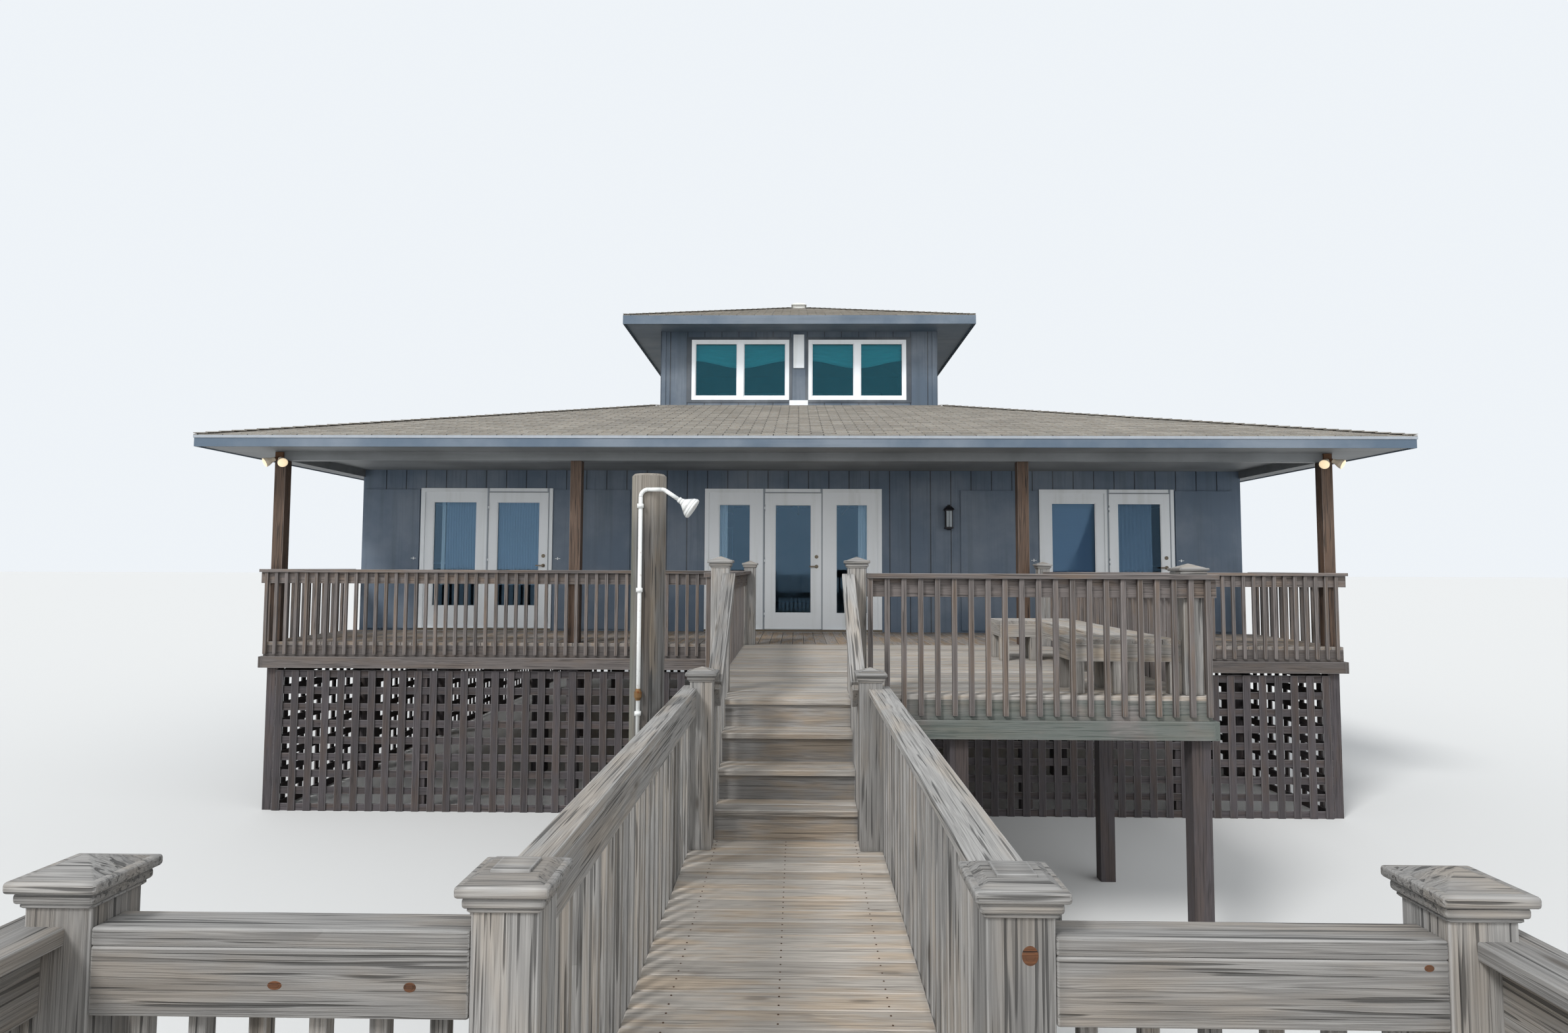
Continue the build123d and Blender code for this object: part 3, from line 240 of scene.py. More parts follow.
class Finish:
    """A material, or a world, that is put together from nodes."""

    def __init__(self, name, library=None):
        if library is None:
            library = bpy.data.materials
        self.owner = library.new(name)
        self.owner.use_nodes = True
        self.tree = self.owner.node_tree
        self.tree.nodes.clear()

    def node(self, kind, settings, inputs, output=0):
        """One node with its settings made first and then its inputs, as a signal."""
        made = self.tree.nodes.new(kind)
        for name, value in settings.items():
            setattr(made, name, value)
        for key, value in inputs.items():
            if isinstance(value, Signal):
                self.tree.links.new(value.socket, made.inputs[key])
            elif value is not None:
                made.inputs[key].default_value = value
        return Signal(self, made.outputs[output]) if made.outputs else None

    def place(self):
        return self.node("ShaderNodeTexCoord", {}, {}, "Object")

    def attribute(self, name, output):
        return self.node("ShaderNodeAttribute", {"attribute_name": name}, {}, output)

    def stretch(self, place, scale, turn=(0, 0, 0)):
        inputs = {"Vector": place, "Rotation": turn, "Scale": scale}
        return self.node("ShaderNodeMapping", {"vector_type": "POINT"}, inputs)

    def vectors(self, operation, first, second):
        return self.node("ShaderNodeVectorMath", {"operation": operation},
                         {0: first, 1: second})

    def parts(self, vector):
        split = self.node("ShaderNodeSeparateXYZ", {}, {0: vector})
        return [Signal(self, socket) for socket in split.socket.node.outputs]

    def grain(self, place, along, across, detail, distortion=0.0, scale=1.0):
        """Noise drawn out along x."""
        drawn = self.stretch(place, (along, across, across))
        return self.noise(drawn, scale, detail, distortion)

    def noise(self, place, scale, detail, distortion=0.0):
        inputs = {"Vector": place, "Scale": scale, "Detail": detail,
                  "Distortion": distortion, "Roughness": 0.55}
        return self.node("ShaderNodeTexNoise", {}, inputs, "Fac")

    def wave(self, phase):
        """Sine of a signal, between 0 and 1."""
        return self.node("ShaderNodeMath", {"operation": "SINE"}, {0: phase}) * 0.5 + 0.5

    def mix(self, factor, first, second, blend="MIX"):
        colours_in = [colour if isinstance(colour, Signal) else (*colour, 1)
                      for colour in (first, second)]
        settings = {"data_type": "RGBA", "blend_type": blend}
        return self.node("ShaderNodeMix", settings,
                         {0: factor, 6: colours_in[0], 7: colours_in[1]}, 2)

    def shade(self, colour, amount):
        """A colour made lighter or darker by a signal round 1."""
        grey = self.node("ShaderNodeCombineColor", {}, {0: amount, 1: amount, 2: amount})
        return self.mix(1.0, colour, grey, "MULTIPLY")

    def close(self, colour, roughness, height=None, depth=0.001, constants=()):
        """Links the surface to the output and returns the material."""
        inputs = {"Base Color": colour, "Roughness": roughness}
        if height is not None:
            inputs["Normal"] = self.node("ShaderNodeBump", {},
                                         {"Distance": depth, "Strength": 1.0,
                                          "Height": height})
        inputs.update(constants)
        if not isinstance(colour, Signal):
            inputs["Base Color"] = (*colour, 1)
        surface = self.node("ShaderNodeBsdfPrincipled", {}, inputs)
        self.node("ShaderNodeOutputMaterial", {}, {"Surface": surface})
        return self.owner


def darker(colour, share):
    return tuple(channel * share for channel in colour)


def blended(first, second, share):
    return tuple(a * (1 - share) + b * share for a, b in zip(first, second))


def timber(name, pale, run=None, warmth=0.25, cracks=0.5, knots=0.5, roughness=0.85,
           variety=0.22, wash=None):
    """Bare or stained timber. Boards carry their own axes, and a node of the frame has its
    grain along run, which is x, y or z. A wash changes the finished colour."""
    finish = Finish(name)
    deep = darker(pale, 0.37)
    warm = tuple(a * b for a, b in zip(pale, (1.04, 0.86, 0.66)))
    if run is None:
        local = finish.attribute("Local", "Vector")
        half = finish.attribute("Half", "Vector")
        tone = finish.attribute("Tone", "Fac")
        shift = finish.node("ShaderNodeCombineXYZ", {},
                            {0: tone * 37.0, 1: tone * 11.0, 2: tone * 23.0})
        place = finish.vectors("ADD", local, shift)
        apart = finish.vectors("SUBTRACT", half, finish.vectors("ABSOLUTE", local, (0, 0, 0)))
        x, y, z = finish.parts(apart)
        least = x.least(y).least(z)
        most = x.most(y).most(z)
        edge = x + y + z - least - most
        worn = 1.0 - edge.above(0.001, 0.007)
        end = 1.0 - x.above(0.0, 0.035)
    else:
        turns = {"x": (0, 0, 0), "y": (0, 0, -QUARTER), "z": (0, QUARTER, 0)}
        place = finish.stretch(finish.place(), (1, 1, 1), turns[run])
        tone = finish.grain(place, 0.3, 2, 0.0, scale=2.0)
        worn = end = None
    swirl = finish.grain(place, 1.3, 7, 2.0)
    bands = finish.grain(place, 0.8, 34, 3.0, 0.9)
    rings = finish.wave(bands * 42.0 + swirl * 9.0)
    fibre = finish.grain(place, 7, 330, 2.0)
    thread = finish.grain(place, 1.6, 130, 3.0, 0.4)
    stain = finish.grain(place, 1.1, 5, 4.0, scale=1.7)
    split = finish.grain(place, 1.9, 85, 1.0, 0.3)
    crack = split.above(0.61, 0.67) * cracks
    groove = thread.above(0.54, 0.66) * cracks
    knot_place = finish.stretch(place, (2.4, 9, 9))
    knot_far, knot_cell = (
        finish.node("ShaderNodeTexVoronoi", {"feature": "F1"},
                    {"Vector": knot_place, "Scale": 1.0, "Randomness": 0.9}, output)
        for output in ("Distance", "Color"))
    pick = finish.parts(knot_cell)[0].above(0.70, 0.72)
    knot = (1.0 - knot_far.above(0.07, 0.17)) * pick * knots
    halo = (1.0 - knot_far.above(0.12, 0.42)) * pick * knots

    colour = finish.mix(rings * 0.34 + fibre * 0.5 + thread * 0.5 - halo * 0.35 - 0.05,
                        deep, pale)
    colour = finish.mix(stain.above(0.42, 0.66) * warmth * 2.0, colour,
                        finish.mix(rings * 0.6 + 0.2, darker(warm, 0.6), warm))
    colour = finish.shade(colour, tone * variety * 2.0 + (1.0 - variety))
    colour = finish.mix(groove * 0.55, colour, darker(deep, 0.6))
    colour = finish.mix(crack, colour, darker(deep, 0.28))
    colour = finish.mix(knot, colour, darker(blended(deep, warm, 0.4), 0.35))
    if worn is not None:
        colour = finish.mix(worn * (stain * 0.7 + 0.1), colour, blended(pale, (0.8,) * 3, 0.25))
        colour = finish.mix(end * 0.35, colour, deep)
    if wash is not None:
        colour = wash(finish, colour)
    height = fibre * 0.35 + rings * 0.2 - groove * 0.7 - crack * 1.3 - knot * 0.6 + halo * 0.3
    return finish.close(colour, fibre * 0.15 + (roughness - 0.08), height, 0.0024)


def pile_wash(finish, colour):
    """Algae on the left of the shower pile, a wet band beside the pipe and a bleached top."""
    x, _, z = finish.parts(finish.place())
    rough = finish.noise(finish.stretch(finish.place(), (9, 9, 0.8)), 1.0, 3.0) * 0.05
    side = x - (low("shower_post").x - 0.025) + rough
    algae = 1.0 - side.above(0.03, 0.10)
    colour = finish.mix(algae * 0.45, colour, tint(112, 116, 92))
    wet = side.above(0.125, 0.14) * (1.0 - side.above(0.16, 0.175))
    colour = finish.mix(wet * 0.6, colour, tint(62, 56, 52))
    head = high("shower_post").z
    top = z.above(head - 0.35, head - 0.1)
    return finish.mix(top * 0.4, colour, tint(176, 166, 152))


def band_wash(finish, colour):
    """Green grey film on the boards of the sun deck's rim."""
    cloud = finish.noise(finish.place(), 3.0, 4.0)
    return finish.mix(cloud.above(0.3, 0.6) * 0.55, colour, tint(84, 98, 92))


def joint_shadow(node):
    """Painted shade in the joint round the leaf of a door: a blue grey shadow line along its
    sides and over its head.
    """
    start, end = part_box(node)
    middle, half = (start.x + end.x) / 2, (end.x - start.x) / 2
    joint = (0.008, 0.026)

    def wash(finish, colour):
        x, _, z = finish.parts(finish.place())
        aside = abs(x - middle)
        sides = 1.0 - abs(aside - half).above(*joint)
        over = (1.0 - abs(z - end.z).above(*joint)) * (1.0 - aside.above(half, half + 0.02))
        # painted shadow line: blue grey where the leaf's sides and head meet the frame
        return finish.mix(sides.most(over) * 0.75, colour, tint(92, 104, 118))

    return wash


def paint(name, colour, run="z", dirt=0.35, sawn=0.5, roughness=0.55, wash=None):
    """Painted timber, with its saw marks along run, x or z, and some dirt and chalking. A wash
    changes the finished colour."""
    finish = Finish(name)
    turns = {"x": (0, QUARTER, 0), "z": (0, 0, 0)}
    place = finish.stretch(finish.place(), (1, 1, 1), turns[run])
    saw = finish.noise(finish.stretch(place, (240, 240, 6)), 1.0, 2.0)
    grain = finish.noise(finish.stretch(place, (38, 38, 1.1)), 1.0, 3.0, 0.6)
    cloud = finish.noise(place, 0.9, 5.0)
    drip = finish.noise(finish.stretch(place, (7, 7, 0.35)), 1.0, 4.0)
    speck = finish.noise(place, 55.0, 2.0).above(0.62, 0.74)
    chalk = blended(colour, (0.62, 0.64, 0.66), 0.28)
    soot = tuple(a * b for a, b in zip(colour, (0.66, 0.66, 0.60)))
    shown = finish.mix(cloud.above(0.35, 0.7) * 0.6, colour, chalk)
    shown = finish.mix(drip.above(0.5, 0.72) * dirt, shown, soot)
    shown = finish.mix(grain.above(0.52, 0.75) * sawn * 0.5, shown, darker(colour, 0.72))
    shown = finish.mix(speck * dirt * 0.4, shown, soot)
    if wash is not None:
        shown = wash(finish, shown)
    height = saw * sawn + grain * sawn * 0.8
    rough = cloud * 0.2 + (roughness - 0.1)
    return finish.close(shown, rough, height, 0.0012)


def shingles(name, colour):
    """Mineral granules on asphalt tabs, each tab with its own shade."""
    finish = Finish(name)
    place = finish.place()
    tone = finish.attribute("Tone", "Fac")
    grit = finish.noise(place, 420.0, 2.0)
    blot = finish.noise(place, 24.0, 3.0)
    wash = finish.noise(place, 0.6, 4.0)
    shown = finish.mix(grit.above(0.36, 0.64), darker(colour, 0.58),
                       blended(colour, (1, 1, 1), 0.18))
    shown = finish.mix(blot.above(0.4, 0.65) * 0.45, shown,
                       tuple(a * b for a, b in zip(colour, (0.9, 0.78, 0.66))))
    shown = finish.shade(shown, tone * 0.34 + 0.82)
    shown = finish.shade(shown, wash * 0.2 + 0.9)
    return finish.close(shown, grit * 0.1 + 0.86, grit + blot * 0.4, 0.002)


def metal(name, colour, metallic=0.0, roughness=0.45, rust=0.2):
    """Painted or bare metal with small spots of rust or dirt."""
    finish = Finish(name)
    place = finish.place()
    cloud = finish.noise(place, 9.0, 4.0)
    spot = finish.noise(place, 60.0, 3.0).above(0.60, 0.72) * rust
    shown = finish.mix(cloud.above(0.3, 0.7) * 0.35, colour, darker(colour, 0.75))
    shown = finish.mix(spot, shown, tint(120, 72, 40))
    return finish.close(shown, cloud * 0.2 + (roughness - 0.1) + spot * 0.3,
                        cloud + spot, 0.0006, {"Metallic": metallic})


def pane_glass(name, colour, cast):
    """Clear window glass with a little salt haze. Cast is the tint of what it reflects."""
    finish = Finish(name)
    haze = finish.noise(finish.place(), 3.0, 5.0)
    return finish.close(colour, haze.above(0.45, 0.8) * 0.05 + 0.02,
                        constants={"Transmission Weight": 1.0, "IOR": 1.45,
                                   "Specular Tint": (*cast, 1.0)})


def cloth(name, colour, weave):
    """Woven curtain cloth."""
    finish = Finish(name)
    place = finish.place()
    weft = finish.wave(finish.parts(place)[2] * weave)
    soft = finish.noise(place, 6.0, 3.0)
    shown = finish.mix(soft * 0.5, colour, darker(colour, 0.82))
    shown = finish.mix(weft * 0.12, shown, darker(colour, 0.6))
    return finish.close(shown, soft * 0.1 + 0.85, weft + soft, 0.0004)


class Boards:
    """Timbers of one piece. Each keeps its own axes, so that its grain can follow it."""

    def __init__(self, seed):
        self.mesh = bmesh.new()
        layers = self.mesh.verts.layers
        self.local = layers.float_vector.new("Local")
        self.half = layers.float_vector.new("Half")
        self.tone = layers.float.new("Tone")
        self.chance = random.Random(seed)
        self.laid = []

    def lay(self, place, size, taper=1.0):
        """Timber of a length, width and thickness round the middle of place. Its upper face
        is smaller by taper."""
        self.laid.append((place, size, taper))

    def board(self, start, end, run=None):
        """Timber between two corners, with its grain along axis number run or its longest."""
        start, end = Vector(start), Vector(end)
        size = end - start
        order = sorted(range(3), key=lambda axis: -size[axis])
        if run is not None:
            order.remove(run)
            order.insert(0, run)
        turn = Matrix.Identity(3)
        for column, axis in enumerate(order):
            turn.col[column] = [float(row == axis) for row in range(3)]
        if turn.determinant() < 0:
            turn.col[2] = -turn.col[2]
        place = Matrix.Translation((start + end) / 2) @ turn.to_4x4()
        self.lay(place, [size[axis] for axis in order])

    def post(self, x, y, foot, top, half=POST / 2):
        """Upright square timber round a point."""
        self.board((x - half, y - half, foot), (x + half, y + half, top))

    def rounded(self, radius, segments=1):
        """The finished mesh, with the arrises of every board eased."""
        for place, size, taper in self.laid:
            tone = self.chance.random()
            before = len(self.mesh.verts)
            cube = bmesh.ops.create_cube(self.mesh, size=1)["verts"]
            for vert in cube:
                vert.co = Vector(side * reach for side, reach in zip(vert.co, size))
                if vert.co.z > 0:
                    vert.co.xy *= taper
            eased(self.mesh, radius, segments,
                  list({edge for vert in cube for edge in vert.link_edges}))
            self.mesh.verts.ensure_lookup_table()
            for vert in self.mesh.verts[before:]:
                vert[self.local] = vert.co
                vert[self.half] = Vector(size) / 2
                vert[self.tone] = tone
                vert.co = place @ vert.co
        return self.mesh


def show(name, mesh, materials, replaced=(), body="house"):
    """Turns a finished mesh into a piece that rides on a body of the frame."""
    data = bpy.data.meshes.new(name)
    mesh.to_mesh(data)
    mesh.free()
    for material in materials:
        data.materials.append(material)
    piece = bpy.data.objects.new(name, data)
    bpy.context.scene.collection.objects.link(piece)
    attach(piece, body)
    if replaced:
        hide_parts(*replaced)
    return piece


def dress(node, material):
    """Gives a node of the frame its finish."""
    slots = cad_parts[node].material_slots
    if not slots:
        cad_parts[node].data.materials.append(material)
    for slot in slots:
        slot.material = material


def divided(start, end, wanted):
    """Number and pitch of equal parts of a stretch, near to the pitch that is wanted."""
    count = round((end - start) / wanted)
    return count, (end - start) / count


def deck_boards(boards, x_low, x_high, y_low, y_high, level, run):
    """Deck boards on a rim and joists. They run along axis number run."""
    across = 1 - run
    start, end = ((x_low, x_high), (y_low, y_high))[across]
    count, pitch = divided(start, end, sizes().board_pitch)
    gap, unevenness = sizes().board_gap / 2, 0.0012
    corners = [[x_low, y_low, level - BOARD], [x_high, y_high, level]]
    for index in range(count):
        corners[0][across] = start + index * pitch + (gap if index else 0)
        corners[1][across] = start + (index + 1) * pitch - (gap if index < count - 1 else 0)
        corners[1][2] = level + boards.chance.uniform(-unevenness, 0)
        boards.board(corners[0], corners[1], run)


def rim_boards(boards, x_low, x_high, y_low, y_high, level):
    """Rim and joists below deck boards."""
    top = level - BOARD
    foot = top - RIM_DEPTH
    for y in (y_low, y_high - BOARD):
        boards.board((x_low, y, foot), (x_high, y + BOARD, top))
    for x in (x_low, x_high - BOARD):
        boards.board((x, y_low + BOARD, foot), (x + BOARD, y_high - BOARD, top))
    joist_pitch = 0.61
    count = math.floor((y_high - y_low) / joist_pitch)
    for index in range(count):
        y = y_low + (index + 1) * (y_high - y_low) / (count + 1) - BOARD / 2
        boards.board((x_low + BOARD, y, foot), (x_high - BOARD, y + BOARD, top))


def band_board(boards, x_low, x_high, y_low, y_high, level):
    """Band board outside a rim, below the feet of the balusters."""
    top = level - 0.185
    boards.board((x_low, y_low, top - RAIL_BOARD), (x_high, y_high, top))


def guard_rail(boards, start, along, run, level, height, first=0.0, last=0.0, drop=None,
               inside=RAIL_BOARD - RAIL_REACH, edge=RAIL_BOARD):
    """Straight railing of length run: balusters outside the line, a board on edge behind them
    if edge gives its height, and a flat cap board that reaches inside the line. The ends named
    first and last have no balusters."""
    along, up = Vector((*along, 0)), Vector((0, 0, 1))
    inward = up.cross(along)

    def lay(spot, across, over, axes, size):
        middle = Vector((*start, level)) + along * spot + inward * across + up * over
        boards.lay(Matrix.Translation(middle) @ Matrix(axes).transposed().to_4x4(), size)

    under, pitch = height - BOARD, sizes().baluster_pitch
    drop = sizes().baluster_drop if drop is None else drop
    stretch = run - first - last
    count = math.floor((stretch - BOARD) / pitch) + 1
    for index in range(count):
        lay(first + stretch / 2 + (index - (count - 1) / 2) * pitch, -BOARD / 2,
            (under - drop) / 2, (up, along, inward), (under + drop, BOARD, BOARD))
    board_length, butt_gap = 3.6, 0.002
    pieces = max(1, round(run / board_length))
    size = run / pieces
    for index in range(pieces):
        spot = size * (index + 0.5)
        lay(spot, (inside - RAIL_REACH) / 2, height - BOARD / 2, (along, inward, up),
            (size - butt_gap, inside + RAIL_REACH, BOARD))
        if edge:
            lay(spot, BOARD / 2, under - edge / 2, (along, -up, inward),
                (size - butt_gap, edge, BOARD))


def capped_post(stock, x, y, foot, top, grow=0.0, crown=0.006, rise=0.028):
    """Square post and its cap, whose plate ends at top. A cove, a collar and the plate carry a
    slope up to the crown."""
    columns, plates, slopes = stock
    column_top = top - 0.02
    columns.post(x, y, foot, column_top)
    collar, plate = 0.172 + grow, 0.196 + grow
    for size, start, end in ((collar - 0.016, -0.060, -0.048), (collar, -0.049, -0.026),
                             (plate, -0.025, 0.0)):
        plates.lay(Matrix.Translation((x, y, top + (start + end) / 2)),
                   (size, size, end - start))
    slope_foot, sunk = plate - 0.014, 0.004
    slopes.lay(Matrix.Translation((x, y, top + (rise - sunk) / 2)),
               (slope_foot, slope_foot, rise + sunk), crown / slope_foot)
    button = 0.042
    if crown > button:
        slopes.post(x, y, top + rise - 0.002, top + rise + 0.006, button)


def screw(mesh, x, y, z):
    """Screw head flush with a board."""
    radius, depth = 0.0045, 0.0018
    bmesh.ops.create_cone(mesh, cap_ends=True, segments=8, radius1=radius,
                          radius2=radius * 0.8, depth=depth,
                          matrix=Matrix.Translation((x, y, z)))


def cut(mesh, point, normal, clear=True, dist=1e-6):
    """Cuts a mesh along a plane, and clears what lies beyond it."""
    bmesh.ops.bisect_plane(mesh, geom=mesh.verts[:] + mesh.edges[:] + mesh.faces[:],
                           dist=dist, plane_co=point, plane_no=normal, clear_outer=clear)


def quarter(centre, turns):
    """Place of a side of something square round centre, after a number of quarter turns."""
    return Matrix.Translation(centre) @ Matrix.Rotation(turns * QUARTER, 4, "Z")


def points_of(geometry):
    """Vertices among the items that a bmesh operator returns."""
    return [item for item in geometry if isinstance(item, bmesh.types.BMVert)]


def closed(mesh):
    """The mesh with its holes filled, its loose edges gone and its faces turned outwards."""
    bmesh.ops.holes_fill(mesh, edges=[edge for edge in mesh.edges if edge.is_boundary])
    bmesh.ops.delete(mesh, geom=[edge for edge in mesh.edges if edge.is_wire], context="EDGES")
    bmesh.ops.recalc_face_normals(mesh, faces=mesh.faces[:])
    return mesh


def grooved(node, name, material, shadow):
    """Copy of a wall with the grooves of its upright siding cut into the outer face. The groove
    bottoms take the second finish, a near black painted shade.
    """
    depth, margin = 0.007, 0.03
    mesh = bmesh.new()
    mesh.from_mesh(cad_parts[node].data)
    bmesh.ops.remove_doubles(mesh, verts=mesh.verts, dist=0.0001)
    bmesh.ops.dissolve_limit(mesh, angle_limit=0.01, verts=mesh.verts, edges=mesh.edges)
    start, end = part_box(node)
    middle = (0, ROOF_MIDDLE if node == "cupola_walls" else (WALL + BACK) / 2)
    half, pitch = sizes().groove_width / 2, sizes().groove_pitch
    sides = {
        "left_wall": ((-1, 0),), "right_wall": ((1, 0),), "back_wall": ((0, 1),),
        "front_wall": ((0, -1),), "front_wall_head": ((0, -1),),
        "cupola_walls": ((-1, 0), (1, 0), (0, 1), (0, -1)),
    }[node]
    for axis in {1 if side[0] else 0 for side in sides}:
        count = math.ceil((end[axis] - start[axis]) / 2 / pitch)
        lines = [middle[axis] + (index + 0.5) * pitch for index in range(-count, count)]
        lines = [line for line in lines if start[axis] + margin < line < end[axis] - margin]
        direction = Vector((axis == 0, axis == 1, 0))
        for line in lines:
            for edge in (line - half, line + half):
                cut(mesh, direction * edge, direction, False, 1e-5)
        for side in sides:
            out = Vector((*side, 0))
            if abs(out.dot(direction)) > 0.5:
                continue
            limit = max(vert.co.dot(out) for vert in mesh.verts)
            chosen = []
            for face in mesh.faces:
                centre = face.calc_center_median()
                if face.normal.dot(out) > 0.9 and centre.dot(out) > limit - 0.002:
                    if min(abs(centre[axis] - line) for line in lines) < half:
                        chosen.append(face)
            moved = bmesh.ops.extrude_face_region(mesh, geom=chosen)["geom"]
            bmesh.ops.delete(mesh, geom=chosen, context="FACES_ONLY")
            # groove bottoms get the second finish, painted shade in the grooves
            for item in moved:
                if isinstance(item, bmesh.types.BMFace):
                    item.material_index = 1
            bmesh.ops.translate(mesh, vec=-out * depth, verts=points_of(moved))
    show(name, closed(mesh), [material, shadow], [node])


def repeat(mesh, count, step):
    """Adds copies of all that a mesh holds. Step gives how far copy number index moves."""
    geometry = mesh.verts[:] + mesh.edges[:] + mesh.faces[:]
    for index in range(1, count):
        made = bmesh.ops.duplicate(mesh, geom=geometry)["geom"]
        bmesh.ops.translate(mesh, vec=step(index), verts=points_of(made))


def roof_slope(foot_half, run, pitch, seed):
    """Courses of shingle tabs on one slope, in the slope's own axes: along the eave, up the
    slope, and out of it."""
    exposure, tab = sizes().shingle_exposure, sizes().shingle_width
    slot, lap, overhang = 0.015, 0.01, 0.0045
    butt, back, sunk = 0.011, 0.004, 0.001
    mesh = bmesh.new()
    tone = mesh.verts.layers.float.new("Tone")
    angle = math.atan(pitch)
    slope = run / math.cos(angle)
    columns = math.ceil(2 * foot_half / tab) + 2
    for vert in bmesh.ops.create_cube(mesh, size=1)["verts"]:
        lower, upper = vert.co.y < 0, vert.co.z > 0
        vert.co = Vector((vert.co.x * (tab - slot), exposure / 2 + vert.co.y * (exposure + lap),
                          (butt if lower else back) if upper else -sunk))
    repeat(mesh, columns, lambda column: (column * tab, 0, 0))
    repeat(mesh, math.ceil(slope / exposure),
           lambda row: ((row % 2) * tab / 2, row * exposure, 0))
    bmesh.ops.translate(mesh, vec=(-columns * tab / 2, 0, 0), verts=mesh.verts)
    chance = random.Random(seed)
    shades = {}
    for face in mesh.faces:
        key = face.verts[0].index // 8
        shades.setdefault(key, chance.random())
        for vert in face.verts:
            vert[tone] = shades[key]
    for side in (-1, 1):
        cut(mesh, (side * foot_half, 0, 0), (side, math.cos(angle), 0))
    closed(mesh)
    for height, out in ((overhang, -1), (slope, 1)):
        cut(mesh, (0, height, 0), (0, out, 0))
    return closed(mesh)


def hip_caps(foot_half, run, pitch, eave, seed):
    """Folded cap tabs along the four hips of a roof."""
    exposure, wide, thick = sizes().shingle_exposure, 0.2, 0.005
    butt, back = 0.026, 0.018
    mesh = bmesh.new()
    tone = mesh.verts.layers.float.new("Tone")
    chance = random.Random(seed)
    rise = run * pitch
    hip = math.sqrt(2 * run * run + rise * rise)
    tilt = math.atan2(rise, run * math.sqrt(2))
    fold = pitch / math.sqrt(2)
    for turn in range(4):
        corner = (quarter((0, ROOF_MIDDLE, eave), turn + 0.5)
                  @ Matrix.Translation((-foot_half * math.sqrt(2), 0, 0))
                  @ Matrix.Rotation(-tilt, 4, "Y"))
        for index in range(math.floor(hip / exposure)):
            made = bmesh.ops.create_grid(mesh, x_segments=1, y_segments=2, size=0.5)["verts"]
            shade = chance.random()
            for vert in made:
                near = vert.co.x < 0
                along = index * exposure + (0.0 if near else exposure)
                across = vert.co.y * wide
                lift = (butt if near else back) - abs(across) * fold
                vert.co = corner @ Vector((along, across, lift))
                vert[tone] = shade
            faces = list({face for vert in made for face in vert.link_faces})
            bmesh.ops.recalc_face_normals(mesh, faces=faces)
            if sum(face.normal.z for face in faces) < 0:
                bmesh.ops.reverse_faces(mesh, faces=faces)
            bmesh.ops.solidify(mesh, geom=faces, thickness=-thick)
    for turn in range(4):
        out = Matrix.Rotation(turn * QUARTER, 3, "Z") @ Vector((0, -1, 0))
        cut(mesh, Vector((0, ROOF_MIDDLE, 0)) + out * (foot_half - 0.0005), out)
    return closed(mesh)


def roofing(name, node, foot_half, run, pitch, eave, material, under, seed):
    """Shingles on the four slopes of a hip roof, with cap tabs along its hips."""
    whole = bmesh.new()
    whole.verts.layers.float.new("Tone")
    for turn in range(4):
        slope = roof_slope(foot_half, run, pitch, seed + turn)
        place = (quarter((0, ROOF_MIDDLE, eave), turn) @ Matrix.Translation((0, -foot_half, 0))
                 @ Matrix.Rotation(math.atan(pitch), 4, "X"))
        bmesh.ops.transform(slope, matrix=place, verts=slope.verts)
        part = bpy.data.meshes.new(name)
        slope.to_mesh(part)
        slope.free()
        whole.from_mesh(part)
        bpy.data.meshes.remove(part)
    # the roof shell under the tabs takes the near black painted shade of the slots
    dress(node, under)
    show(f"{name}_hips", hip_caps(foot_half, run, pitch, eave, seed + 9), [material])
    show(name, whole, [material])


def blocks(mesh, boxes, place=None):
    """Adds boxes to a mesh, each given by its lowest and highest corner."""
    place = place or Matrix.Identity(4)
    for start, end in boxes:
        start, end = Vector(start), Vector(end)
        size = Matrix.Diagonal((*(end - start), 1))
        bmesh.ops.create_cube(mesh, size=1,
                              matrix=place @ Matrix.Translation((start + end) / 2) @ size)


def eased(mesh, radius, segments=2, edges=None):
    """The mesh with its arrises rounded, or those that are given."""
    bmesh.ops.bevel(mesh, geom=edges or mesh.edges[:], offset=radius, segments=segments,
                    affect="EDGES", profile=0.5, material=-1)
    return mesh


def framed(start, end, side, foot, head):
    """Boxes of the four bars of a frame in the X-Z plane, with the widths of the bars."""
    (x_low, near, z_low), (x_high, far, z_high) = start, end
    return [((x_low, near, z_low), (x_high, far, z_low + foot)),
            ((x_low, near, z_high - head), (x_high, far, z_high)),
            ((x_low, near, z_low + foot), (x_low + side, far, z_high - head)),
            ((x_high - side, near, z_low + foot), (x_high, far, z_high - head))]


def tube(mesh, start, direction, rings, sides=20):
    """Round bar of several cone parts end to end, up to the point that is returned. Each ring
    is a part's two radii and its length."""
    direction = Vector(direction).normalized()
    turn = direction.to_track_quat("Z", "Y").to_matrix().to_4x4()
    spot = Vector(start)
    for first, second, reach in rings:
        bmesh.ops.create_cone(mesh, cap_ends=True, segments=sides, radius1=first,
                              radius2=second, depth=reach,
                              matrix=Matrix.Translation(spot + direction * reach / 2) @ turn)
        spot += direction * reach
    return spot


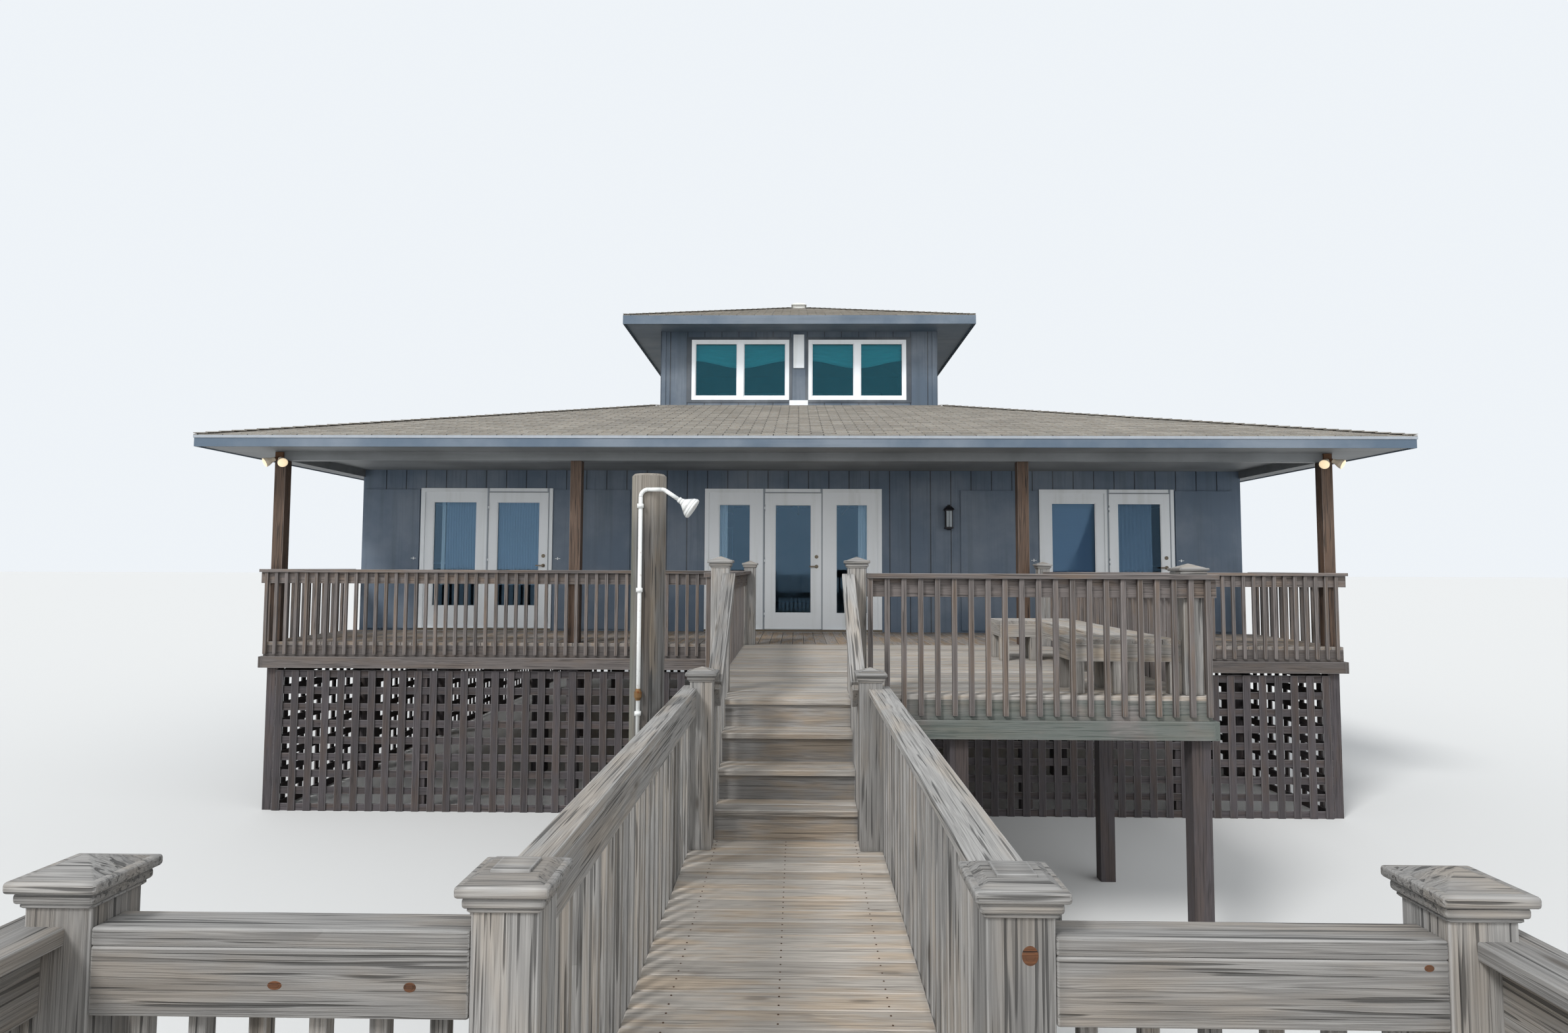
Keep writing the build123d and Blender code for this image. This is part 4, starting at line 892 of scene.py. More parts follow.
def hung_cloth(name, place, width, drop, wave, material, columns, rows, body="house"):
    """Sheet of cloth that hangs in the X-Z plane of place from its top left corner. For a
    share of the width, drop gives how far it hangs down, and wave how far it stands out."""
    def spot(across, down):
        return place @ Vector((across * width, wave(across, down), -down * drop(across)))

    def path(points):
        return sum((b - a).length for a, b in zip(points, points[1:]))

    mesh = bmesh.new()
    bmesh.ops.create_grid(mesh, x_segments=columns, y_segments=rows, size=0.5)
    for vert in mesh.verts:
        vert.co = spot(vert.co.x + 0.5, 0.5 - vert.co.y)
    bmesh.ops.recalc_face_normals(mesh, faces=mesh.faces[:])
    area = sum(face.calc_area() for face in mesh.faces)
    wide = max(path([spot(step / columns, level) for step in range(columns + 1)])
               for level in (0.0, 1.0))
    long = max(path([spot(step / columns, level / rows) for level in range(rows + 1)])
               for step in range(columns + 1))
    bmesh.ops.solidify(mesh, geom=mesh.faces[:], thickness=CLOTH)
    for face in mesh.faces:
        face.smooth = True
    piece = show(name, mesh, [material], body=body)


class StepOperator:
    """What the operators of this add-on have in common."""

    bl_options = {"REGISTER", "UNDO"}


class BuildWalls(StepOperator, Operator):
    """Cuts the siding into the walls and adds the corner boards of the cupola"""

    bl_idname = "beach_house.walls"
    bl_label = "Walls"

    def execute(self, context):
        hues = colours()
        siding = paint("House siding", hues.siding, sawn=0.8)
        upper = paint("Cupola siding", hues.cupola_siding, sawn=0.8)
        # near black finish of the groove bottoms: painted shade
        shadow = paint("Siding groove shade", darker(hues.siding, 0.2), sawn=0.3)
        for node in WALL_NODES:
            grooved(node, f"{node}_siding", upper if node == "cupola_walls" else siding, shadow)
        wide, thick, drop = 0.09, 0.018, 0.06
        reach = CUPOLA_HALF + thick
        foot, head = high("main_roof").z - drop, CUPOLA_EAVE - drop
        corners = bmesh.new()
        for x_side in (-1, 1):
            for y_side in (-1, 1):
                for half_x, half_y in ((wide / 2, thick / 2), (thick / 2, wide / 2)):
                    x, y = x_side * (reach - half_x), ROOF_MIDDLE + y_side * (reach - half_y)
                    blocks(corners, [((x - half_x, y - half_y, foot),
                                      (x + half_x, y + half_y, head))])
        show("cupola_corner_boards", eased(corners, 0.002, 1), [upper])
        return {"FINISHED"}


class BuildRoof(StepOperator, Operator):
    """Lays the shingles and hip caps on both roofs"""

    bl_idname = "beach_house.roof"
    bl_label = "Roof shingles"

    def execute(self, context):
        material = shingles("Roof shingles", colours().shingle)
        # The roof shell shows only through the slots between tabs; its near black paint is
        # painted shade in the slots.
        under = metal("Shingle slot shade", darker(colours().shingle, 0.10), 0.0, 0.9, 0.0)
        roofing("main_shingles", "main_roof", ROOF_HALF, ROOF_HALF - CUPOLA_HALF, ROOF_PITCH,
                EAVE, material, under, 40)
        roofing("cupola_shingles", "cupola_roof", CUPOLA_EAVE_HALF,
                CUPOLA_EAVE_HALF - CAP_HALF, CUPOLA_PITCH, CUPOLA_EAVE, material, under, 80)
        dress("roof_cap", metal("Cap metal", tint(214, 214, 208), 0.0, 0.45, 0.3))
        return {"FINISHED"}


class BuildEaves(StepOperator, Operator):
    """Makes the fascia boards with their drip edges, and paints the soffit and the beams"""

    bl_idname = "beach_house.eaves"
    bl_label = "Eaves"

    def execute(self, context):
        board = paint("Fascia paint", colours().fascia, "x", sawn=0.3)
        drip = metal("Drip edge", blended(colours().fascia, (0.8, 0.82, 0.84), 0.35))
        soffit = paint("Soffit paint", colours().soffit, "x", sawn=0.3)
        thick, board_inset, drip_inset, drip_depth = 0.02, 0.010, 0.0012, 0.034
        for name, half, top, depth, nodes in (
            ("main_fascia", ROOF_HALF, EAVE, 0.14, ["eave_fascia"]),
            ("cupola_fascia", CUPOLA_EAVE_HALF, CUPOLA_EAVE, 0.15, []),
        ):
            mesh = bmesh.new()
            for turn in range(4):
                side = quarter((0, ROOF_MIDDLE, 0), turn)
                for outer, foot, head in ((half - board_inset, top - depth, top - 0.004),
                                          (half - drip_inset, top - drip_depth, top)):
                    for vert in bmesh.ops.create_cube(mesh, size=1)["verts"]:
                        reach = outer - thick * (vert.co.y > 0)
                        vert.co = side @ Vector((2 * vert.co.x * reach, -reach,
                                                 head if vert.co.z > 0 else foot))
            eased(mesh, 0.0015, 1)
            for face in mesh.faces:
                face.material_index = int(
                    face.calc_center_median().z > top - drip_depth - 0.002
                    and face.calc_area() < 1)
            show(name, mesh, [board, drip], nodes)
        dress("cupola_eaves", board)
        dress("soffit", soffit)
        dress("porch_beams", soffit)
        return {"FINISHED"}


class BuildPosts(StepOperator, Operator):
    """Makes the porch posts, the foundation piles, the piers and the floor frames"""

    bl_idname = "beach_house.posts"
    bl_label = "Posts and piles"

    def execute(self, context):
        foot, top = low("porch_posts").z, high("porch_posts").z
        stained = timber("Stained post", darker(colours().brown_post, 0.9), warmth=0.2,
                         cracks=1.0, knots=1.0, roughness=0.7)
        posts = Boards(3)
        outer, inner = high("porch_posts").x - POST / 2, 2.84
        for x in (-outer, -inner, inner, outer):
            posts.post(x, PIER_ROW, foot, top)
        show("porch_post_timbers", posts.rounded(0.005, 2), [stained],
             ["porch_posts"])
        dark = timber("Pile timber", darker(colours().lattice, 1.1), "z", warmth=0.3)
        framing = timber("Floor framing", tint(178, 150, 112), "y", warmth=0.5, cracks=0.2)
        for node, material in (("foundation_piles", dark), ("deck_piers", dark),
                               ("house_floor", framing), ("upper_floor", framing)):
            dress(node, material)
        return {"FINISHED"}


class BuildDecks(StepOperator, Operator):
    """Lays the deck boards of the porch, sun deck, walkway and platform"""

    bl_idname = "beach_house.decks"
    bl_label = "Decks"

    def execute(self, context):
        hues = colours()
        walkway = timber("Walkway boards", hues.walkway, warmth=0.3, cracks=0.4, knots=0.5,
                         variety=0.2)
        sun = timber("Sun deck boards", blended(hues.walkway, hues.weathered, 0.5),
                     warmth=0.3, cracks=0.4)
        porch = timber("Porch boards", blended(hues.walkway, hues.house_rail, 0.6), warmth=0.6,
                       cracks=0.3)
        rim = timber("Rim boards", blended(hues.weathered, hues.house_rail, 0.6), warmth=0.3)
        band = timber("Sun deck rim boards", blended(hues.weathered, hues.house_rail, 0.7),
                      warmth=0.2, wash=band_wash)
        dark = timber("Porch rim boards", darker(hues.house_rail, 0.72), warmth=0.2)
        walk_plan = (WALK_LEFT, WALK_RIGHT, WALK_NEAR, WALK_FAR)
        platform_plan = (PLATFORM_LEFT, PLATFORM_RIGHT, PLATFORM_NEAR, WALK_NEAR)
        side_start = WALK_NEAR + BOARD + SEAM
        # Name, plan, level, direction of the boards, finishes, and plans of the band boards
        for name, plan, level, run, material, frame_material, bands in (
            ("porch", (-PORCH_HALF, PORCH_HALF, PORCH_RIM, WALL), DECK, 1, porch, dark, (
                (-PORCH_HALF, SUN_LEFT - BOARD - SEAM, PORCH_RIM - BOARD, PORCH_RIM),
                (SUN_RIGHT + BOARD + SEAM, PORCH_HALF, PORCH_RIM - BOARD, PORCH_RIM),
                (-PORCH_HALF - BOARD, -PORCH_HALF, PORCH_RIM - BOARD, WALL),
                (PORCH_HALF, PORCH_HALF + BOARD, PORCH_RIM - BOARD, WALL))),
            ("sun", (SUN_LEFT, SUN_RIGHT, SUN_FRONT, PORCH_RIM), DECK, 0, sun, band, (
                (WALK_RIGHT, SUN_RIGHT, SUN_FRONT - BOARD, SUN_FRONT),
                (SUN_LEFT - BOARD, SUN_LEFT, SUN_FRONT, PORCH_RIM),
                (SUN_RIGHT, SUN_RIGHT + BOARD, SUN_FRONT - BOARD, PORCH_RIM))),
            ("walkway", walk_plan, WALK, 0, walkway, rim, (
                (WALK_LEFT - BOARD, WALK_LEFT, side_start, WALK_FAR),
                (WALK_RIGHT, WALK_RIGHT + BOARD, side_start, WALK_FAR))),
            ("platform", platform_plan, WALK, 0, walkway, rim, (
                (PLATFORM_LEFT - BOARD, PLATFORM_RIGHT + BOARD, PLATFORM_NEAR - BOARD,
                 PLATFORM_NEAR),
                (PLATFORM_LEFT - BOARD, PLATFORM_LEFT, PLATFORM_NEAR, WALK_NEAR),
                (PLATFORM_RIGHT, PLATFORM_RIGHT + BOARD, PLATFORM_NEAR, WALK_NEAR),
                (PLATFORM_LEFT - BOARD, WALK_LEFT, WALK_NEAR, WALK_NEAR + BOARD),
                (WALK_RIGHT, PLATFORM_RIGHT + BOARD, WALK_NEAR, WALK_NEAR + BOARD))),
        ):
            top = Boards(len(name))
            deck_boards(top, *plan, level, run)
            show(f"{name}_boards", top.rounded(0.003), [material],
                 [f"{name}_deck"])
            below = Boards(20 + len(name))
            rim_boards(below, *plan, level)
            for band_plan in bands:
                band_board(below, *band_plan, level)
            show(f"{name}_frame", below.rounded(0.002), [frame_material])
        heads = bmesh.new()
        inset, proud = 0.16, 0.0002
        for left, right, start, end in (walk_plan, platform_plan):
            count, pitch = divided(start, end, sizes().board_pitch)
            for index in range(count):
                for share in (0.25, 0.75):
                    for x in (left + inset, WALK_AXIS, right - inset):
                        screw(heads, x, start + (index + share) * pitch, WALK + proud)
        show("deck_screws", heads, [metal("Rusty screws", tint(88, 66, 52), 0.5, 0.7, 0.8)])
        return {"FINISHED"}


class BuildRails(StepOperator, Operator):
    """Makes all the railings, with their posts and moulded caps"""

    bl_idname = "beach_house.rails"
    bl_label = "Railings"

    def execute(self, context):
        grey = timber("Weathered rails", colours().weathered, warmth=0.2, cracks=0.75,
                      knots=0.8)
        house = timber("House rails", colours().house_rail, warmth=0.35, cracks=0.6)
        self.straight_rails(grey, house)
        self.posts(grey)
        self.knots()
        self.stair_rails(grey)
        return {"FINISHED"}

    def straight_rails(self, grey, house):
        """Railings of the porch, sun deck, walkway and platform"""
        reach, inside = RAIL_REACH, RAIL_BOARD - RAIL_REACH
        corner = inside + SEAM
        right, left, away, near = (1, 0), (-1, 0), (0, 1), (0, -1)
        porch_left, porch_right = -PORCH_HALF - reach, PORCH_HALF + reach
        left_end, right_start = SUN_LEFT - reach - SEAM, SUN_RIGHT + reach + SEAM
        porch_side = WALL - PORCH_RIM - corner
        sun_back = PORCH_RIM + inside
        walk = POST_BACK - WALK_NEAR
        platform = PLATFORM_RIGHT - PLATFORM_LEFT
        platform_side = WALK_NEAR - PLATFORM_NEAR - corner
        back_line = WALK_NEAR - POST + BOARD
        back = platform / 2 - HALF_CLEAR - 2 * POST
        back_ends = {"drop": 0, "inside": BOARD}
        # Name, node, seed, easing, finish, level, height, and for each line of the railing
        # where it starts, its direction, its length and what differs
        for name, node, seed, ease, material, level, height, lines in (
            ("porch", "porch", 11, (0.003,), house, DECK, sizes().rail_height, (
                ((porch_left, PORCH_RIM), right, left_end - porch_left, {"first": reach}),
                ((right_start, PORCH_RIM), right, porch_right - right_start, {"last": reach}),
                ((-PORCH_HALF, WALL), near, porch_side, {}),
                ((PORCH_HALF, PORCH_RIM + corner), away, porch_side, {}))),
            ("sun", "sun_deck", 12, (0.003,), house, DECK, sizes().rail_height, (
                ((WALK_RIGHT, SUN_FRONT), right, SUN_RIGHT + reach - WALK_RIGHT,
                 {"last": reach}),
                ((SUN_RIGHT, SUN_FRONT + corner), away, sun_back - SUN_FRONT - corner,
                 {"last": RAIL_BOARD}),
                ((SUN_LEFT, sun_back), near, sun_back - SUN_FRONT - BOARD,
                 {"first": RAIL_BOARD}))),
            ("walkway", "walkway", 13, (0.004, 2), grey, WALK, sizes().walk_rail_height, (
                ((WALK_LEFT, POST_BACK), near, walk, {"inside": BOARD}),
                ((WALK_RIGHT, WALK_NEAR), away, walk, {"edge": 0}))),
            ("platform", "platform", 14, (0.005, 2), grey, WALK, sizes().walk_rail_height, (
                ((PLATFORM_LEFT - reach, PLATFORM_NEAR), right, platform + 2 * reach,
                 {"first": reach, "last": reach}),
                ((PLATFORM_LEFT, WALK_NEAR), near, platform_side, {}),
                ((PLATFORM_RIGHT, PLATFORM_NEAR + corner), away, platform_side, {}),
                ((PLATFORM_RIGHT - POST, back_line), left, back, back_ends),
                ((WALK_LEFT, back_line), left, back, back_ends))),
        ):
            boards = Boards(seed)
            for start, along, run, options in lines:
                guard_rail(boards, start, along, run, level, height, **options)
            show(f"{name}_rail_timbers", boards.rounded(*ease), [material],
                 [f"{node}_rails"])

    def posts(self, material):
        """Posts with their moulded caps"""
        height, walk_height = sizes().rail_height, sizes().walk_rail_height
        stock = Boards(15), Boards(17), Boards(18)
        stair_row = SUN_FRONT + BOARD + POST / 2
        stair_posts = [WALK_AXIS + side * (HALF_CLEAR + POST / 2) for side in (-1, 1)]
        for x in stair_posts:
            capped_post(stock, x, WALK_NEAR - POST / 2, WALK, WALK + walk_height + POST_TOP,
                        crown=0.124, rise=0.011)
        rows = [(x, POST_BACK - POST / 2, WALK, walk_height) for x in stair_posts]
        rows += [(x, y, WALK, walk_height)
                 for x in (PLATFORM_LEFT + POST / 2, PLATFORM_RIGHT - POST / 2)
                 for y in (PLATFORM_NEAR + POST / 2, WALK_NEAR - POST / 2)]
        rows += [(x, stair_row, DECK, height) for x in stair_posts]
        rows += [(x, PORCH_RIM - POST / 2, DECK, height)
                 for x in (SUN_LEFT + POST / 2, SUN_RIGHT - POST / 2)]
        for x, y, level, rail_top in rows:
            capped_post(stock, x, y, level, level + rail_top + POST_TOP)
        capped_post(stock, SUN_RIGHT - BOARD - POST / 2, stair_row, DECK,
                    DECK + height + LOW_POST_TOP, grow=0.034, rise=0.034)
        columns, plates, slopes = stock
        show("rail_post_timbers", columns.rounded(0.004, 2), [material],
             ["rail_posts"])
        show("rail_post_caps", plates.rounded(0.008, 3), [material])
        show("rail_post_cap_slopes", slopes.rounded(0.0012), [material])

    def knots(self):
        """Knots in the posts and rails nearest to the camera"""
        knots = bmesh.new()
        near_face = WALK_NEAR - POST
        thin, core = 0.0006, 0.62
        # Place along the rail, height over the walkway, and half width and height
        for x, over, wide, tall in (
            (-1.073, 0.873, 0.015, 0.009),
            (-0.794, 0.872, 0.013, 0.010),
            (1.268, 0.932, 0.010, 0.007),
            (0.4695, 0.948, 0.017, 0.020),
            (-0.612, 0.62, 0.012, 0.015),
        ):
            for size, lift in ((1.0, thin), (core, 2 * thin)):
                bmesh.ops.create_cone(
                    knots, cap_ends=True, segments=20, radius1=1, radius2=0.9, depth=1,
                    matrix=Matrix.Translation((x, near_face - lift / 2, WALK + over))
                    @ Matrix.Diagonal((wide * size, lift, tall * size, 1))
                    @ Matrix.Rotation(QUARTER, 4, "X"))
        rust = timber("Rusty knots", tint(110, 76, 54), "x", warmth=0.6, cracks=0.9)
        show("timber_knots", knots, [rust])

    def stair_rails(self, material):
        """Sloping rails on both sides of the stair, with their balusters"""
        stair = Boards(16)
        lowered, clearance = 0.02, 0.004
        foot = WALK + sizes().walk_rail_height + LOW_POST_TOP - lowered
        head = DECK + sizes().rail_height
        head_y = SUN_FRONT + BOARD
        slope = (head - foot) / (head_y - POST_BACK)
        tilt = Matrix.Rotation(math.atan(slope), 4, "X")
        middle = Vector((0, (POST_BACK + head_y) / 2, (foot + head) / 2))
        run = math.hypot(head_y - POST_BACK, head - foot) - clearance
        pitch = sizes().baluster_pitch
        count = math.floor((SUN_FRONT - STAIR_FOOT) / pitch)
        spare = SUN_FRONT - STAIR_FOOT - (count - 1) * pitch
        steepness = (DECK - WALK) / RISERS / GOING
        cap_width, below = 0.095, BOARD + RAIL_BOARD / 2
        for side in (-1, 1):
            inner = WALK_AXIS + side * HALF_CLEAR
            x_low, x_high = sorted((inner, inner + side * BOARD))
            for index in range(count):
                y = STAIR_FOOT + spare / 2 + index * pitch
                upper = foot + slope * (y - POST_BACK) - BOARD / 2
                lower = max(WALK, WALK + steepness * (y - STAIR_FOOT) - sizes().baluster_drop)
                stair.board((x_low, y - BOARD / 2, lower), (x_high, y + BOARD / 2, upper))
            for x, down, wide, deep in (
                (inner, BOARD / 2, cap_width, BOARD),
                (inner - side * BOARD / 2, below, BOARD, RAIL_BOARD),
            ):
                place = Matrix.Translation(middle + Vector((x, 0, -down)))
                stair.lay(place @ tilt @ Matrix.Rotation(QUARTER, 4, "Z"), (run, wide, deep))
        show("stair_rail_timbers", stair.rounded(0.004, 2), [material],
             ["stair_rails"])


class BuildStair(StepOperator, Operator):
    """Makes the treads, risers and stringers of the stair, and the bench"""

    bl_idname = "beach_house.stair"
    bl_label = "Stair and bench"

    def execute(self, context):
        hues = colours()
        tread = timber("Stair treads", blended(hues.walkway, hues.weathered, 0.3),
                       warmth=0.3, cracks=0.5, knots=0.4)
        grey = timber("Stair risers", blended(hues.weathered, hues.house_rail, 0.1),
                      warmth=0.4, cracks=0.4)
        seat = timber("Bench boards", blended(hues.walkway, hues.weathered, 0.6),
                      warmth=0.3, cracks=0.5)
        treads, risers = Boards(21), Boards(22)
        left, right = WALK_AXIS - HALF_CLEAR, WALK_AXIS + HALF_CLEAR
        rise, gap, riser_thick = (DECK - WALK) / RISERS, 0.003, 0.019
        for step in range(RISERS):
            front = STAIR_FOOT + step * GOING
            face = front + NOSE
            under = WALK + (step + 1) * rise - BOARD
            back = SUN_FRONT if step == RISERS - 1 else face + GOING - SEAM
            foot = WALK if step == 0 else under - rise
            half = (front + back) / 2
            treads.board((left, front, under), (right, half - gap, under + BOARD))
            treads.board((left, half + gap, under), (right, back, under + BOARD))
            risers.board((left, face, foot), (right, face + riser_thick, under))
        show("stair_treads", treads.rounded(0.005, 2), [tread],
             ["stair_steps"])
        show("stair_risers", risers.rounded(0.002), [grey])
        dress("stair_stringers", timber("Stringers", hues.weathered, "y", warmth=0.3))
        self.bench(seat)
        return {"FINISHED"}

    def bench(self, material):
        """Bench of three seats round the corner of the sun deck"""
        bench = Boards(23)
        start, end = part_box("bench")
        side_depth, seat_depth, apron, leg = 0.43, 0.45, 0.132, 0.09
        left = end.x - side_depth
        under = end.z - BOARD
        foot = under - apron
        for seat_low, seat_high, front, back in (
            (left, end.x, start.y, end.y),
            (start.x, left - SEAM, start.y, start.y + seat_depth),
            (start.x, left - SEAM, end.y - seat_depth, end.y),
        ):
            width = (seat_high - seat_low) / 3
            for index in range(3):
                gap = 0.003 if index else 0
                bench.board((seat_low + index * width + gap, front, under),
                            (seat_low + (index + 1) * width, back, end.z), 1)
            for y in (front, back - BOARD):
                bench.board((seat_low, y, foot), (seat_high, y + BOARD, under))
            for x in (seat_low, seat_high - BOARD):
                bench.board((x, front + BOARD, foot), (x + BOARD, back - BOARD, under))
            for x in (seat_low, seat_high - leg):
                for y in (front, back - leg):
                    bench.board((x, y, DECK), (x + leg, y + leg, foot))
        show("bench_boards", bench.rounded(0.004, 2), [material], ["bench"])


class BuildLattice(StepOperator, Operator):
    """Makes the lattice skirt round the foundation"""

    bl_idname = "beach_house.lattice"
    bl_label = "Lattice skirt"

    def execute(self, context):
        dark = timber("Lattice slats", colours().lattice, warmth=0.35, cracks=0.5)
        width, pitch, rows = 0.089, sizes().slat_pitch, sizes().slat_rows
        for number, side in enumerate(("front", "left", "right", "back")):
            start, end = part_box(f"{side}_lattice")
            run = 0 if side in ("front", "back") else 1
            near, far = start[1 - run], end[1 - run]
            thick = (far - near) / 2
            outer, inner = (near, near + thick - SEAM), (near + thick, far)
            if side in ("right", "back"):
                outer, inner = (far - thick + SEAM, far), (near, far - thick)
            count = math.floor((end[run] - start[run] - width) / pitch) + 1
            first = (start[run] + end[run]) / 2 - (count - 1) / 2 * pitch - width / 2
            spread = (end.z - start.z - width) / (rows - 1)
            laid = [(outer, (first + index * pitch, first + index * pitch + width),
                     (start.z, end.z)) for index in range(count)]
            laid += [(inner, (start[run], end[run]),
                      (start.z + row * spread, start.z + row * spread + width))
                     for row in range(rows)]
            slats = Boards(31 + number)
            for depth, reach, height in laid:
                spans = (depth, reach, height) if run else (reach, depth, height)
                slats.board(*zip(*spans))
            show(f"{side}_slats", slats.rounded(0.002), [dark],
                 [f"{side}_lattice"])
        return {"FINISHED"}


class BuildWindows(StepOperator, Operator):
    """Makes the window frames with their sashes, and what shows behind the glass"""

    bl_idname = "beach_house.windows"
    bl_label = "Windows"

    def execute(self, context):
        white = paint("Window paint", colours().white, dirt=0.2, sawn=0.05, roughness=0.4)
        dress("window_frames", white)
        dress("window_glass", pane_glass("Window glass", (0.16, 0.50, 0.58),
                                         (0.22, 0.62, 0.78)))
        valance = cloth("Valance cloth", tint(206, 216, 208), 260.0)
        drape = cloth("Window curtain", tint(196, 204, 206), 900.0)
        opening, height, stile, mullion = 1.735, 1.081, 0.06, 0.11
        sash_side, sash_foot, sash_head, sash_front, sash_back = 0.016, 0.022, 0.016, -0.002, 0.02
        outer, inner, level, front, back = 0.09, 0.05, 0.05, -0.011, 0.001
        house_middle = (WALL + BACK) / 2
        cupola, house = (1.038, DECK + 3.928), (2.7, DECK + 1.0)
        # Middle of the wall, its quarter turns from the front, and the places of its windows
        walls = [(quarter(centre, turns), *places) for centre, turns, places in (
            ((0, ROOF_MIDDLE - CUPOLA_HALF, 0), 0, cupola),
            ((0, ROOF_MIDDLE + CUPOLA_HALF, 0), 2, cupola),
            ((-CUPOLA_HALF, ROOF_MIDDLE, 0), 3, cupola),
            ((CUPOLA_HALF, ROOF_MIDDLE, 0), 1, cupola),
            ((0, BACK, 0), 2, house),
            ((-HOUSE_HALF, house_middle, 0), 3, house),
            ((HOUSE_HALF, house_middle, 0), 1, house),
        )]
        self.curtains(walls, height, valance, drape)

        sash, casing = bmesh.new(), bmesh.new()
        pane = (opening - 2 * stile - mullion) / 2
        for wall, offset, sill in walls:
            head = sill + height
            for side in (-1, 1):
                middle = side * offset
                left, right = middle - opening / 2, middle + opening / 2
                before, after = (outer, inner) if side < 0 else (inner, outer)
                blocks(casing, [
                    ((x_low, front, z_low), (x_high, back, z_high))
                    for x_low, x_high, z_low, z_high in (
                        (left - before, left, sill - level, head + level),
                        (right, right + after, sill - level, head + level),
                        (left, right, sill - level, sill),
                        (left, right, head, head + level))], wall)
                for part in (-1, 1):
                    x = middle + part * (pane + mullion) / 2
                    blocks(sash, framed((x - pane / 2, sash_front, sill + stile),
                                        (x + pane / 2, sash_back, head - stile),
                                        sash_side, sash_foot, sash_head), wall)
        show("window_sashes", eased(sash, 0.004), [white])
        trim = paint("Window casing", darker(colours().cupola_siding, 0.42), sawn=0.3)
        show("window_casings", eased(casing, 0.002, 1), [trim])
        return {"FINISHED"}

    def curtains(self, walls, height, valance, drape):
        """Valances in the windows of the cupola and curtains in those of the house"""
        def level(across):
            return 1.02

        def gathers(across, down):
            return 0.009 * math.sin(21 * math.tau * across + math.sin(4 * down))

        def swag(across):
            return 0.33 + 0.13 * math.sin(math.pi * across) ** 2

        def tucks(across, down):
            bulge = 0.35 + 0.65 * math.sin(math.pi * across)
            return 0.011 * math.sin(5.2 * math.tau * down) * bulge

        width, behind, below = 1.69, 0.112, 0.025
        for number, (wall, offset, sill) in enumerate(walls):
            for side in (-1, 1):
                corner = (side * offset - width / 2, behind, sill + height - below)
                place = wall @ Matrix.Translation(corner)
                name = f"{number + 1}_{'left' if side < 0 else 'right'}"
                if sill < EAVE:
                    hung_cloth(f"curtain_{name}", place, width, level, gathers, drape,
                               columns=168, rows=6)
                else:
                    hung_cloth(f"valance_{name}", place, width, swag, tucks, valance,
                               columns=24, rows=44)


